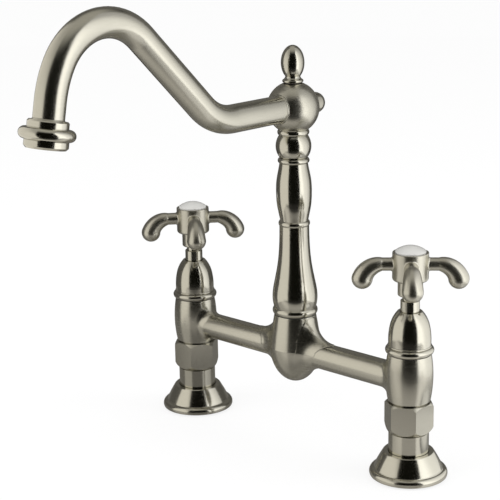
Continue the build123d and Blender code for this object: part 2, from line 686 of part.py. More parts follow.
# --- Bonnet -----------------------------------------------------------------------------------
def bonnet(x):
    """Bullet shaped cap over the cartridge, with a round ring and a thin lip at its foot."""
    hole_r = GUIDE_R + LOOSE
    ring_r = BONNET_R + BONNET_RING_BULGE
    ring_top = BONNET_FOOT + BONNET_RING_HEIGHT
    lip_r = BONNET_R + BONNET_LIP_BULGE
    lip_top = ring_top + BONNET_LIP_HEIGHT
    dome_foot = BONNET_TOP - BONNET_DOME_HEIGHT
    dome_middle = BONNET_TOP - BONNET_DOME_HEIGHT / 2
    with BuildPart() as cap:
        with BuildSketch(upright(x)):
            with BuildLine():
                big_ring = ThreePointArc(
                    (lip_r, BONNET_FOOT),
                    (ring_r, BONNET_FOOT + BONNET_RING_HEIGHT / 2),
                    (BONNET_R + BONNET_LIP_BULGE / 2, ring_top),
                )
                lip = ThreePointArc(
                    big_ring @ 1, (lip_r, ring_top + BONNET_LIP_HEIGHT / 2), (BONNET_R, lip_top)
                )
                Line(lip @ 1, (BONNET_R, dome_foot))
                flank = TangentArc(
                    (BONNET_R, dome_foot), (BONNET_R - BONNET_FLANK_TAPER, dome_middle), tangent=(0, 1)
                )
                dome = TangentArc(flank @ 1, (GUIDE_R + LOOSE + BONNET_RIM, BONNET_TOP), tangent=flank % 1)
                Polyline(
                    dome @ 1,
                    (hole_r, BONNET_TOP),
                    (hole_r, BONNET_TOP - BONNET_CROWN),
                    (BONNET_THREAD_R, dome_middle - BONNET_CROWN),
                    (BONNET_THREAD_R, BONNET_FOOT),
                    big_ring @ 0,
                )
            make_face()
        revolve(axis=upright_axis(x))
    return cap.part


def bonnet_gasket(x):
    return ring(x, BONNET_THREAD_R + FIT, BONNET_R, BARREL_TOP, BONNET_FOOT)


# --- Cross handle -----------------------------------------------------------------------------
def handle_arm(x, turn):
    """One arm: straight out of the hub, then bending down while it swells to a ball end."""
    side = upright(x, turn)
    swell = HANDLE_TIP_R - HANDLE_ARM_R
    with BuildPart() as arm:
        with BuildLine(side):
            bend = JernArc(
                (HANDLE_RUN, HANDLE_FOOT + HANDLE_ARM_RISE), (1, 0), HANDLE_BEND_R, -HANDLE_DROOP
            )
        with BuildSketch(Plane(origin=bend @ 0, x_dir=side.z_dir, z_dir=bend % 0)):
            Circle(HANDLE_ARM_R)
        extrude(amount=-HANDLE_RUN)
        for share in (0.0, 0.3, 0.6, 0.8, 1.0):
            with BuildSketch(Plane(origin=bend @ share, x_dir=side.z_dir, z_dir=bend % share)):
                Circle(HANDLE_ARM_R + swell * share**HANDLE_SWELL)
        loft()
        with Locations(bend @ 1):
            Sphere(HANDLE_TIP_R)
    return arm.part


def cross_handle(x, turn):
    arms = [handle_arm(x, turn + 90 * quarter) for quarter in range(4)]
    with BuildPart() as handle:
        with BuildSketch(level(HANDLE_FOOT, x)):
            Circle(HANDLE_COLLAR_R)
        extrude(amount=HANDLE_COLLAR_HEIGHT)
        fillet(handle.edges().group_by(Axis.Z)[0], HANDLE_FOOT_ROUND)
        with BuildSketch(level(HUB_FOOT, x)):
            Circle(HANDLE_HUB_R)
        extrude(amount=HANDLE_HUB_HEIGHT)
        hub_edges = handle.edges().filter_by(lambda e: on_hub(e, x)).sort_by(Axis.Z)
        fillet(hub_edges[0], HANDLE_HUB_ROUND)
        add(arms)
        roots = handle.edges().filter_by(lambda e: on_hub(e, x)).sort_by(Axis.Z)[1:-1]
        fillet(roots, HANDLE_ROOT_FILLET)
        bore(level(CUP_FLOOR, x), BUTTON_R + DROP_FIT, BUTTON_CUP_DEPTH)
        bore(level(SCREW_SEAT, x), SCREW_HEAD_R + LOOSE, HANDLE_HUB_HEIGHT)
        bore(level(HANDLE_FOOT, x), SCREW_R + SCREW_PLAY, HUB_RIM - HANDLE_FOOT)
        bore(level(HANDLE_FOOT, x), SPINDLE_R + FIT, SQUARE_FOOT - HANDLE_FOOT)
        with BuildSketch(level(SQUARE_FOOT, x, turn)):
            Rectangle(SPINDLE_SQUARE + 2 * FIT, SPINDLE_SQUARE + 2 * FIT)
        extrude(amount=SQUARE_LENGTH, mode=Mode.SUBTRACT)
        fillet(handle.edges().group_by(Axis.Z)[-1], HANDLE_RIM_ROUND)
    return handle.part


def on_hub(edge, x):
    """True for an edge that runs round the handle's hub, on its outer face."""
    if edge.geom_type == GeomType.LINE:
        return False
    points = (edge @ 0, edge @ 0.5, edge @ 1)
    return all(abs(hypot(p.X - x, p.Y) - HANDLE_HUB_R) < 0.01 for p in points)


def handle_screw(x):
    """Screw down into the spindle, its key pocket facing up under the button."""
    with BuildPart() as screw:
        with BuildSketch(level(SCREW_SEAT, x)):
            Circle(SCREW_R)
        extrude(amount=-SCREW_LENGTH)
        chamfer(screw.edges().group_by(Axis.Z)[0], EDGE_BREAK)
        with BuildSketch(level(SCREW_SEAT, x)):
            Circle(SCREW_HEAD_R)
        extrude(amount=SCREW_HEAD_HEIGHT)
        with BuildSketch(level(SCREW_SEAT + SCREW_HEAD_HEIGHT, x)):
            RegularPolygon(SCREW_KEY / 2, 6, major_radius=False)
        extrude(amount=-SCREW_HEAD_HEIGHT / 2, mode=Mode.SUBTRACT)
    return screw.part


def index_button(x):
    """Domed button pressed into the cup on top of the handle."""
    edge_top = CUP_FLOOR + BUTTON_EDGE
    dome_r = (BUTTON_R**2 + BUTTON_DOME**2) / (2 * BUTTON_DOME)
    with BuildPart() as button:
        with BuildSketch(upright(x)):
            with BuildLine():
                Polyline((BUTTON_R, edge_top), (BUTTON_R, CUP_FLOOR), (0, CUP_FLOOR))
                Line((0, CUP_FLOOR), (0, edge_top + BUTTON_DOME))
                RadiusArc((BUTTON_R, edge_top), (0, edge_top + BUTTON_DOME), -dome_r)
            make_face()
        revolve(axis=upright_axis(x))
        fillet(button.edges().group_by(SortBy.LENGTH)[-1].sort_by(Axis.Z)[-1], BUTTON_ROUND)
    return button.part


# --- Spout column -----------------------------------------------------------------------------
def spout_column():
    """Turned column: swivel spigot with its grooves below, rings, pear, vase and bulb above."""
    ring_top = COLUMN_FOOT + FOOT_RING_HEIGHT
    pear_top = ring_top + PEAR_HEIGHT
    vase_top = VASE_FOOT + VASE_HEIGHT
    bulb_top = BULB_FOOT + BULB_HEIGHT
    groove = 2 * SWIVEL_RING_R + RING_PLAY
    groove_r = SWIVEL_R - 2 * SWIVEL_RING_R - FIT
    with BuildPart() as column:
        with BuildSketch(upright()):
            with BuildLine():
                Polyline(
                    (COLUMN_BORE_R, COLUMN_FOOT - SWIVEL_LENGTH),
                    (SWIVEL_R, COLUMN_FOOT - SWIVEL_LENGTH),
                    (SWIVEL_R, COLUMN_FOOT),
                    (HUB_NECK_R, COLUMN_FOOT),
                )
                foot_ring = ThreePointArc(
                    (HUB_NECK_R, COLUMN_FOOT),
                    (FOOT_RING_R, COLUMN_FOOT + FOOT_RING_HEIGHT / 2),
                    (HUB_NECK_R, ring_top),
                )
                pear = Spline(
                    foot_ring @ 1,
                    (PEAR_R, ring_top + 0.15 * PEAR_HEIGHT),
                    (0.894 * PEAR_R, ring_top + 0.33 * PEAR_HEIGHT),
                    (0.758 * PEAR_R, ring_top + 0.525 * PEAR_HEIGHT),
                    (0.686 * PEAR_R, ring_top + 0.715 * PEAR_HEIGHT),
                    (0.655 * PEAR_R, pear_top),
                )
                bead = ThreePointArc(
                    pear @ 1, (NECK_R + BEAD_BULGE, pear_top + BEAD_HEIGHT / 2), (NECK_R, VASE_FOOT)
                )
                vase = Spline(
                    bead @ 1,
                    (0.85 * VASE_R, VASE_FOOT + 0.09 * VASE_HEIGHT),
                    (0.95 * VASE_R, VASE_FOOT + 0.25 * VASE_HEIGHT),
                    (VASE_R, VASE_FOOT + 0.475 * VASE_HEIGHT),
                    (0.966 * VASE_R, VASE_FOOT + 0.71 * VASE_HEIGHT),
                    (0.872 * VASE_R, VASE_FOOT + 0.865 * VASE_HEIGHT),
                    (NECK_R, vase_top),
                )
                small_bead = ThreePointArc(
                    vase @ 1,
                    (NECK_R + BEAD_BULGE, vase_top + SMALL_BEAD_HEIGHT / 2),
                    (BULB_NECK_R, BULB_FOOT),
                )
                bulb = ThreePointArc(
                    small_bead @ 1, (BULB_R, BULB_FOOT + BULB_HEIGHT / 2), (NECK_R, bulb_top)
                )
                top_bead = ThreePointArc(
                    bulb @ 1,
                    (NECK_R + BEAD_BULGE, bulb_top + BEAD_HEIGHT / 2),
                    (NECK_R + BEAD_BULGE / 2, bulb_top + BEAD_HEIGHT),
                )
                Polyline(
                    top_bead @ 1,
                    (BALL_SEAT_R, COLUMN_TOP),
                    (BALL_SPIGOT_R, COLUMN_TOP),
                    (BALL_SPIGOT_R, COLUMN_TOP + BALL_SPIGOT_HEIGHT),
                    (COLUMN_BORE_R, COLUMN_TOP + BALL_SPIGOT_HEIGHT),
                    (COLUMN_BORE_R, COLUMN_FOOT - SWIVEL_LENGTH),
                )
            make_face()
        revolve(axis=upright_axis())
        for height in SWIVEL_RINGS:
            turned_groove(height, groove, SWIVEL_R, groove_r)
        turned_groove(SCREW_LEVEL, SCREW_GROOVE_WIDTH, SWIVEL_R, SWIVEL_R - SCREW_GROOVE_DEPTH)
    return column.part


def turned_groove(height, width, shaft_r, bottom_r):
    """Cut a square groove round the piece under construction, on the centre axis."""
    with BuildSketch(level(height - width / 2)) as groove:
        Circle(shaft_r + EDGE_BREAK)
        Circle(bottom_r, mode=Mode.SUBTRACT)
    extrude(groove.sketch, amount=width, mode=Mode.SUBTRACT)


def swivel_washer():
    """Thin slip ring between the hub and the turning column."""
    outer_r = HUB_NECK_R - SEAL_INSET
    return ring(0, SWIVEL_R + FIT, outer_r, CASTING_HUB_TOP, CASTING_HUB_TOP + SWIVEL_WASHER)


def retaining_screw():
    """Grub screw in the back of the hub; its tip runs in the column's groove."""
    tip = SWIVEL_R - SCREW_GROOVE_DEPTH + GRUB_TIP_PLAY
    shank = SWIVEL_R + GRUB_TIP_PLAY
    with BuildPart() as grub:
        with BuildSketch(facing(1, tip, SCREW_LEVEL)):
            Circle(GRUB_TIP_R)
        extrude(amount=shank - tip)
        with BuildSketch(facing(1, shank, SCREW_LEVEL)):
            Circle(GRUB_R)
        extrude(amount=GRUB_LENGTH)
        with BuildSketch(facing(1, shank + GRUB_LENGTH, SCREW_LEVEL)):
            RegularPolygon(GRUB_KEY / 2, 6, major_radius=False)
        extrude(amount=-GRUB_KEY_DEPTH, mode=Mode.SUBTRACT)
    return grub.part


# --- Ball, finial and plug --------------------------------------------------------------------
def spout_ball():
    """Ball on the column, bored for the column, the spout tube, the finial and the plug."""
    with BuildPart() as ball:
        with BuildSketch(upright()):
            with BuildLine():
                Line((BALL_SEAT_R, COLUMN_TOP), (0, COLUMN_TOP))
                Line((0, COLUMN_TOP), (0, FINIAL_SEAT))
                Line((0, FINIAL_SEAT), (FINIAL_SEAT_R, FINIAL_SEAT))
                ThreePointArc(
                    (FINIAL_SEAT_R, FINIAL_SEAT), (BALL_R, BALL_CENTRE), (BALL_SEAT_R, COLUMN_TOP)
                )
            make_face()
        revolve(axis=upright_axis())
        bore(level(COLUMN_TOP), BALL_SPIGOT_R + FIT, BALL_SPIGOT_HEIGHT + FIT)
        bore(level(COLUMN_TOP), BALL_BORE_R, BALL_CENTRE + BALL_BORE_RISE - COLUMN_TOP)
        bore(level(FINIAL_SEAT - FINIAL_STUB_LENGTH - FIT), FINIAL_STUB_R + FIT, 2 * BALL_R)
        bore(facing(-1, TUBE_START, TUBE_LEVEL), TUBE_R + FIT, BALL_R)
        bore(facing(-1, 0, TUBE_LEVEL), BALL_BORE_R, BALL_R)
        bore(facing(1, PLUG_SEAT, TUBE_LEVEL), PLUG_R + SPOT_PLAY, BALL_R)
        bore(facing(1, PLUG_SEAT - PLUG_STUB_LENGTH - DROP_FIT, TUBE_LEVEL), PLUG_STUB_R + FIT, BALL_R)
        bore(facing(1, 0, TUBE_LEVEL), PLUG_STUB_R - PLUG_HOLE_WALL, BALL_R)
    return ball.part


def facing(way, distance, height):
    """Plane across the spout's direction: way -1 looks along the spout, 1 to the back."""
    return Plane(origin=(0, way * distance, height), x_dir=(1, 0, 0), z_dir=(0, way, 0))


def ball_finial():
    """Egg on a flared foot, screwed into the top of the ball."""
    foot = FINIAL_SEAT + SEAL_WASHER
    tip = FINIAL_SEAT + FINIAL_HEIGHT
    egg = tip - FINIAL_EGG_RISE
    flare_r = FINIAL_SEAT_R + FINIAL_FLARE
    waist_r = FINIAL_EGG_R * cos(radians(FINIAL_WAIST_TURN))
    waist = egg - FINIAL_EGG_RISE * sin(radians(FINIAL_WAIST_TURN))
    with BuildPart() as finial:
        with BuildSketch(upright()):
            with BuildLine():
                foot_ring = ThreePointArc(
                    (FINIAL_SEAT_R, foot),
                    (flare_r, foot + FINIAL_FLARE),
                    (FINIAL_SEAT_R + FINIAL_FLARE / 2, foot + 2 * FINIAL_FLARE),
                )
                crown = EllipticalCenterArc(
                    (0, egg),
                    FINIAL_EGG_R,
                    FINIAL_EGG_RISE,
                    -FINIAL_WAIST_TURN,
                    arc_size=FINIAL_WAIST_TURN + 90,
                )
                ThreePointArc(
                    foot_ring @ 1,
                    (waist_r + FINIAL_FLARE / 3, (waist + foot + 2 * FINIAL_FLARE) / 2),
                    crown @ 0,
                )
                Polyline(
                    crown @ 1,
                    (0, FINIAL_SEAT - FINIAL_STUB_LENGTH),
                    (FINIAL_STUB_R, FINIAL_SEAT - FINIAL_STUB_LENGTH),
                    (FINIAL_STUB_R, foot),
                    (FINIAL_SEAT_R, foot),
                )
            make_face()
        revolve(axis=upright_axis())
    return finial.part


def finial_washer():
    outer_r = FINIAL_SEAT_R - SEAL_INSET
    return ring(0, FINIAL_STUB_R + FIT, outer_r, FINIAL_SEAT, FINIAL_SEAT + SEAL_WASHER)


def rear_plug():
    """Domed plug behind the spout, closing the hole the ball is drilled from."""
    face = PLUG_SEAT + SEAL_WASHER
    tip = PLUG_SEAT + PLUG_LENGTH
    with BuildPart() as plug:
        with BuildSketch(Plane(origin=(0, 0, TUBE_LEVEL), x_dir=(0, 1, 0), z_dir=(1, 0, 0))):
            with BuildLine():
                Polyline(
                    (tip, 0),
                    (PLUG_SEAT - PLUG_STUB_LENGTH, 0),
                    (PLUG_SEAT - PLUG_STUB_LENGTH, PLUG_STUB_R),
                    (face, PLUG_STUB_R),
                    (face, PLUG_R),
                    (tip - PLUG_R, PLUG_R),
                )
                CenterArc((tip - PLUG_R, 0), PLUG_R, 90, -90)
            make_face()
        revolve(axis=Axis((0, 0, TUBE_LEVEL), (0, 1, 0)))
    return plug.part


def plug_washer():
    with BuildPart() as washer:
        with BuildSketch(facing(1, PLUG_SEAT, TUBE_LEVEL)):
            Circle(PLUG_R - SEAL_INSET)
            Circle(PLUG_STUB_R + FIT, mode=Mode.SUBTRACT)
        extrude(amount=SEAL_WASHER)
    return washer.part


# --- Spout tube -------------------------------------------------------------------------------
def spout_path():
    """Centre line of the tube, in the plane X = 0: level, up, over the arch and down."""
    side = Plane(origin=(0, 0, TUBE_LEVEL), x_dir=(0, -1, 0), z_dir=(-1, 0, 0))
    with BuildLine(side) as path:
        run = Line((TUBE_START + DROP_FIT, 0), (TUBE_RUN, 0))
        rise_bend = JernArc(run @ 1, run % 1, RISE_BEND_R, RISE_ANGLE)
        climb = Line(rise_bend @ 1, rise_bend @ 1 + RISE_LENGTH * (rise_bend % 1))
        arch = JernArc(climb @ 1, climb % 1, ARCH_R, -ARCH_TURN)
        drop_bend = JernArc(arch @ 1, arch % 1, DROP_R, -DROP_TURN)
        Line(drop_bend @ 1, drop_bend @ 1 + DROP_LENGTH * (drop_bend % 1))
    return path.wires()[0]


def spout_tube():
    path = spout_path()
    with BuildPart() as tube:
        with BuildSketch(Plane(origin=path @ 0, z_dir=path % 0)) as section:
            Circle(TUBE_R)
            Circle(TUBE_R - TUBE_WALL, mode=Mode.SUBTRACT)
        sweep(section.sketch, path=path)
    return tube.part


# --- Outlet -----------------------------------------------------------------------------------
def outlet_plane(along=0.0):
    """Plane across the water's direction, its normal downstream, measured from the collar."""
    path = spout_path()
    start = path @ 1 - TUBE_INSERT * (path % 1)
    return Plane(origin=start + along * (path % 1), x_dir=(1, 0, 0), z_dir=path % 1)


def outlet_side():
    """Sketch plane through the outlet's axis: local x is the radius, local y downstream."""
    across = outlet_plane()
    return Plane(origin=across.origin, x_dir=(1, 0, 0), z_dir=across.y_dir * -1)


def outlet_ferrule():
    """Collar soldered on the tube's end, with a round bead over the aerator's thread."""
    ledge_r = FERRULE_R + FERRULE_STEP
    thread_r = AERATOR_THREAD_R + FIT
    rim_r = AERATOR_R + LOOSE
    washer_seat = FERRULE_END - AERATOR_THREAD - AERATOR_WASHER
    axis = Axis(outlet_plane().origin, outlet_plane().z_dir)
    with BuildPart() as ferrule:
        with BuildSketch(outlet_side()):
            with BuildLine():
                Polyline(
                    (TUBE_R + FIT, TUBE_STOP),
                    (TUBE_R + FIT, 0),
                    (FERRULE_R - FERRULE_CHAMFER, 0),
                    (FERRULE_R, FERRULE_CHAMFER),
                    (FERRULE_R, FERRULE_COLLAR),
                    (ledge_r, FERRULE_COLLAR),
                )
                ThreePointArc(
                    (ledge_r, FERRULE_COLLAR),
                    (FERRULE_BEAD_R, FERRULE_COLLAR + FERRULE_BEAD / 2),
                    (rim_r, FERRULE_END),
                )
                Polyline(
                    (rim_r, FERRULE_END),
                    (thread_r, FERRULE_END),
                    (thread_r, washer_seat),
                    (FERRULE_PASSAGE_R, washer_seat),
                    (FERRULE_PASSAGE_R, TUBE_STOP),
                    (TUBE_R + FIT, TUBE_STOP),
                )
            make_face()
        revolve(axis=axis)
    return ferrule.part


def aerator_housing():
    """Threaded cup screwed into the ferrule; its lip holds the insert."""
    lip_r = AERATOR_BORE_R - AERATOR_LIP
    lip_foot = AERATOR_END - AERATOR_LIP_HEIGHT
    with BuildPart() as housing:
        with BuildSketch(outlet_side()):
            with BuildLine():
                Polyline(
                    (AERATOR_BORE_R, AERATOR_TOP),
                    (AERATOR_THREAD_R, AERATOR_TOP),
                    (AERATOR_THREAD_R, AERATOR_SEAT),
                    (AERATOR_R, AERATOR_SEAT),
                    (AERATOR_R, AERATOR_END - AERATOR_CHAMFER),
                    (AERATOR_R - AERATOR_CHAMFER, AERATOR_END),
                    (lip_r, AERATOR_END),
                    (lip_r, lip_foot),
                    (AERATOR_BORE_R, lip_foot),
                    close=True,
                )
            make_face()
        revolve(axis=Axis(outlet_plane().origin, outlet_plane().z_dir))
    return housing.part


def aerator_insert():
    """Perforated insert that splits the stream, held between washer and lip."""
    outer_r = AERATOR_BORE_R - FIT
    length = AERATOR_END - AERATOR_LIP_HEIGHT - AERATOR_TOP
    with BuildPart() as insert:
        with BuildSketch(outlet_plane(AERATOR_TOP)):
            Circle(outer_r)
        extrude(amount=length)
        bore(outlet_plane(AERATOR_TOP), outer_r - AERATOR_WALL, length - AERATOR_FLOOR)
        with BuildSketch(outlet_plane(AERATOR_TOP)):
            Circle(AERATOR_HOLE_R)
            for ring_number, count in enumerate(AERATOR_HOLES, start=1):
                with PolarLocations(AERATOR_HOLE_PITCH * ring_number, count):
                    Circle(AERATOR_HOLE_R)
        extrude(amount=length, mode=Mode.SUBTRACT)
    return insert.part


def aerator_washer():
    with BuildPart() as washer:
        with BuildSketch(outlet_plane(AERATOR_TOP)):
            Circle(AERATOR_THREAD_R - FIT)
            Circle(FERRULE_PASSAGE_R, mode=Mode.SUBTRACT)
        extrude(amount=-AERATOR_WASHER)
    return washer.part


# --- Save every piece -------------------------------------------------------------------------
leg_pieces = {
    "deck_flange": deck_flange,
    "deck_gasket": deck_gasket,
    "riser": riser,
    "tailpiece": tailpiece,
    "union_washer": union_washer,
    "seat_seal": seat_seal,
    "fixed_disc": fixed_disc,
    "moving_disc": moving_disc,
    "cartridge_body": cartridge_body,
    "spindle_o_rings": spindle_o_rings,
    "stem_guide": stem_guide,
    "bonnet_gasket": bonnet_gasket,
    "bonnet": bonnet,
    "handle_screw": handle_screw,
    "index_button": index_button,
}
for side, leg_x in LEGS.items():
    for piece, make in leg_pieces.items():
        save(make(leg_x), f"{side}_{piece}")
    save(union_nut(leg_x, NUT_TURN[side]), f"{side}_union_nut")
    save(spindle(leg_x, HANDLE_TURN[side]), f"{side}_spindle")
    save(cross_handle(leg_x, HANDLE_TURN[side]), f"{side}_cross_handle")

save(bridge_casting(), "bridge_casting")
save(swivel_washer(), "swivel_washer")
save(retaining_screw(), "spout_retaining_screw")
save(spout_column(), "spout_column")
save(o_rings(0, SWIVEL_RINGS, SWIVEL_RING_R, SWIVEL_R), "swivel_o_rings")
save(spout_ball(), "spout_ball")
save(ball_finial(), "ball_finial")
save(finial_washer(), "finial_washer")
save(rear_plug(), "rear_plug")
save(plug_washer(), "plug_washer")
save(spout_tube(), "spout_tube")
save(outlet_ferrule(), "outlet_ferrule")
save(aerator_housing(), "aerator_housing")
save(aerator_insert(), "aerator_insert")
save(aerator_washer(), "aerator_washer")
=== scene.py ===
"""Bridge kitchen faucet in satin nickel: the finishes of its pieces, and the studio that they stand in.

Metres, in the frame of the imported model: the deck is z = 0 and the bridge runs along X, hot side at -X.
The sections follow the faucet as a fitter puts it together, from the deck up and out to the spout's end.
"""

import json
from math import acos, cos, pi, radians, sin, sqrt

import bmesh
import bpy
from mathutils import Matrix, Vector
from mathutils.bvhtree import BVHTree


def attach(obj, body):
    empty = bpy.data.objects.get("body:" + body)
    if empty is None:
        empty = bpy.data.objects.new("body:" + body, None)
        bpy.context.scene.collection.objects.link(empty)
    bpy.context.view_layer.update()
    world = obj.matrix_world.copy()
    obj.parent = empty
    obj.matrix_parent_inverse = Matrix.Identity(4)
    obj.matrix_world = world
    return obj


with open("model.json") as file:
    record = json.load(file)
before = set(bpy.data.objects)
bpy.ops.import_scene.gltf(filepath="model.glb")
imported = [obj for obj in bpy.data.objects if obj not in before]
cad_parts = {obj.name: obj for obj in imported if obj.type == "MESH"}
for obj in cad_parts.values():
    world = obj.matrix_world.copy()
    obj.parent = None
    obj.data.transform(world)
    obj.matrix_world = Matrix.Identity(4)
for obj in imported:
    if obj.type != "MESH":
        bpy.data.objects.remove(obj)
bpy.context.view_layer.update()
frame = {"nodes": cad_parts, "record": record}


# --- Deck flanges and risers ------------------------------------------------------------------
# Bell flanges and round risers are turned from brass, brushed while they spin and then plated with
# nickel, so the fine scratches run round each piece and draw every reflection out along its height.

SIDES = ("hot", "cold")


def both(*names):
    """The hot and the cold copy of each named node."""
    return [f"{side}_{name}" for side in SIDES for name in names]


def cad(node):
    """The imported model's object for a node."""
    return frame["nodes"][node]


def finish_nodes(material, *names):
    """Gives CAD nodes their finish."""
    for name in names:
        slots = cad(name).data.materials
        slots.clear()
        slots.append(material)


def group_with(name, inputs, outputs):
    """Empty shader node group with named sockets: (name, kind, value) in, (name, kind) out."""
    group = bpy.data.node_groups.new(name, "ShaderNodeTree")
    for label, kind, value in inputs:
        socket = group.interface.new_socket(name=label, in_out="INPUT", socket_type=kind)
        socket.default_value = value
    for label, kind in outputs:
        group.interface.new_socket(name=label, in_out="OUTPUT", socket_type=kind)
    start = group.nodes.new("NodeGroupInput")
    end = group.nodes.new("NodeGroupOutput")
    return group, start, end


def add_node(tree, kind, settings=(), inputs=()):
    """Places a node; settings are its properties, inputs are socket values or links."""
    node = tree.nodes.new(kind)
    for key, value in dict(settings).items():
        setattr(node, key, value)
    for key, value in dict(inputs).items():
        if isinstance(value, bpy.types.NodeSocket):
            tree.links.new(value, node.inputs[key])
        else:
            node.inputs[key].default_value = value
    return node


CLOUD_SHARE = 0.4  # weight of the cloudy tone against the scratches


def brushed_group():
    """Scratches that run round or along a piece: tone, roughness and relief from stretched noise."""
    group, start, end = group_with(
        "brushed_lines",
        [
            ("Stretch", "NodeSocketVector", (1.0, 1.0, 1.0)),
            ("Roughness", "NodeSocketFloat", 0.25),
            ("Spread", "NodeSocketFloat", 0.06),
            ("Colour", "NodeSocketColor", (0.6, 0.58, 0.5, 1.0)),
            ("Dull Colour", "NodeSocketColor", (0.5, 0.48, 0.42, 1.0)),
        ],
        [
            ("Colour", "NodeSocketColor"),
            ("Roughness", "NodeSocketFloat"),
            ("Height", "NodeSocketFloat"),
        ],
    )
    place = add_node(group, "ShaderNodeTexCoord")
    stretched = add_node(
        group,
        "ShaderNodeVectorMath",
        {"operation": "MULTIPLY"},
        {0: place.outputs["Object"], 1: start.outputs["Stretch"]},
    )
    lines = add_node(
        group,
        "ShaderNodeTexNoise",
        {"noise_dimensions": "3D"},
        {"Vector": stretched.outputs[0], "Scale": 1.0, "Detail": 4.0, "Roughness": 0.65},
    )
    clouds = add_node(
        group,
        "ShaderNodeTexNoise",
        {"noise_dimensions": "3D"},
        {"Vector": place.outputs["Object"], "Scale": 45.0, "Detail": 3.0, "Roughness": 0.5},
    )
    both_scales = add_node(
        group,
        "ShaderNodeMath",
        {"operation": "MULTIPLY_ADD"},
        {0: clouds.outputs["Fac"], 1: CLOUD_SHARE, 2: lines.outputs["Fac"]},
    )
    shade = add_node(
        group,
        "ShaderNodeMapRange",
        {},
        {"Value": both_scales.outputs[0], "From Min": 0.45, "From Max": 0.95},
    )
    tone = add_node(
        group,
        "ShaderNodeMix",
        {"data_type": "RGBA"},
        {
            "Factor": shade.outputs[0],
            "A": start.outputs["Dull Colour"],
            "B": start.outputs["Colour"],
        },
    )
    swing = add_node(
        group,
        "ShaderNodeMath",
        {"operation": "MULTIPLY_ADD"},
        {0: shade.outputs[0], 1: start.outputs["Spread"], 2: start.outputs["Roughness"]},
    )
    group.links.new(tone.outputs["Result"], end.inputs["Colour"])
    group.links.new(swing.outputs[0], end.inputs["Roughness"])
    group.links.new(lines.outputs["Fac"], end.inputs["Height"])
    return group


BRUSHED = brushed_group()
ALONG_SCRATCH = 140.0  # noise scale along a scratch, and across it
ACROSS_SCRATCH = 5200.0
ROUND_THE_PIECE = (ALONG_SCRATCH, ALONG_SCRATCH, ACROSS_SCRATCH)  # for a piece turned about its height
NICKEL = (0.64, 0.622, 0.545, 1.0)
NICKEL_DULL = (0.58, 0.562, 0.485, 1.0)
SEAM_SHADE = (0.045, 0.042, 0.032, 1.0)  # painted shade: near black in the seams between pieces, where light hardly reaches
SEAM_SHADE_REACH = 0.0018
BUMP_DEPTH = 0.0002


def new_material(name):
    """Material with only its Principled shader and output."""
    material = bpy.data.materials.new(name)
    material.use_nodes = True
    tree = material.node_tree
    return material, tree, tree.nodes["Principled BSDF"]


def brushed_nickel(name, stretch=ROUND_THE_PIECE, roughness=0.125, anisotropy=0.4, axis="Z", relief=0.005):
    """Nickel plate over a brushed surface; axis is the one that the piece was turned about."""
    material, tree, shader = new_material(name)
    lines = add_node(
        tree,
        "ShaderNodeGroup",
        {"node_tree": BRUSHED},
        {
            "Stretch": stretch,
            "Roughness": roughness,
            "Spread": 0.05,
            "Colour": NICKEL,
            "Dull Colour": NICKEL_DULL,
        },
    )
    bump = add_node(
        tree,
        "ShaderNodeBump",
        {},
        {"Strength": relief, "Distance": BUMP_DEPTH, "Height": lines.outputs["Height"]},
    )
    # Painted shade: the plate's colour turns near black where other surfaces lie close, in seams and
    # recesses.
    openness = add_node(tree, "ShaderNodeAmbientOcclusion", {"samples": 8}, {"Distance": SEAM_SHADE_REACH})
    unshaded = add_node(
        tree,
        "ShaderNodeMapRange",
        {"interpolation_type": "SMOOTHSTEP"},
        {"Value": openness.outputs["AO"], "From Min": 0.15, "From Max": 0.75},
    )
    tone = add_node(
        tree,
        "ShaderNodeMix",
        {"data_type": "RGBA"},
        {"Factor": unshaded.outputs[0], "A": SEAM_SHADE, "B": lines.outputs["Colour"]},
    )
    tree.links.new(tone.outputs["Result"], shader.inputs["Base Color"])
    tree.links.new(lines.outputs["Roughness"], shader.inputs["Roughness"])
    tree.links.new(bump.outputs["Normal"], shader.inputs["Normal"])
    shader.inputs["Metallic"].default_value = 1.0
    if anisotropy:
        around = add_node(tree, "ShaderNodeTangent", {"direction_type": "RADIAL", "axis": axis})
        tree.links.new(around.outputs["Tangent"], shader.inputs["Tangent"])
        shader.inputs["Anisotropic"].default_value = anisotropy
    return material


turned_nickel = brushed_nickel("turned_nickel")
finish_nodes(turned_nickel, *both("deck_flange", "riser"))


# --- Deck gaskets and union washers -----------------------------------------------------------
# Rubber rings seal the flange on the deck, and pressed fibre washers seal the unions. Both are
# stamped from sheet, so they are dull, with a fine grain.


ROUGHNESS_SWING = 0.06  # how far the grain moves the roughness, each way


def speckled(name, colour, dark_colour, roughness, scale, relief=0.05, metallic=0.0):
    """Fine grained plain stuff: rubber, fibre, moulded plastic and lapped ceramic."""
    material, tree, shader = new_material(name)
    place = add_node(tree, "ShaderNodeTexCoord")
    grain = add_node(
        tree,
        "ShaderNodeTexNoise",
        {},
        {"Vector": place.outputs["Object"], "Scale": scale, "Detail": 4.0, "Roughness": 0.6},
    )
    tone = add_node(
        tree,
        "ShaderNodeMix",
        {"data_type": "RGBA"},
        {"Factor": grain.outputs["Fac"], "A": dark_colour, "B": colour},
    )
    swing = add_node(
        tree,
        "ShaderNodeMapRange",
        {},
        {
            "Value": grain.outputs["Fac"],
            "To Min": roughness - ROUGHNESS_SWING,
            "To Max": roughness + ROUGHNESS_SWING,
        },
    )
    bump = add_node(
        tree,
        "ShaderNodeBump",
        {},
        {"Strength": relief, "Distance": BUMP_DEPTH, "Height": grain.outputs["Fac"]},
    )
    tree.links.new(tone.outputs["Result"], shader.inputs["Base Color"])
    tree.links.new(swing.outputs[0], shader.inputs["Roughness"])
    tree.links.new(bump.outputs["Normal"], shader.inputs["Normal"])
    shader.inputs["Metallic"].default_value = metallic
    return material


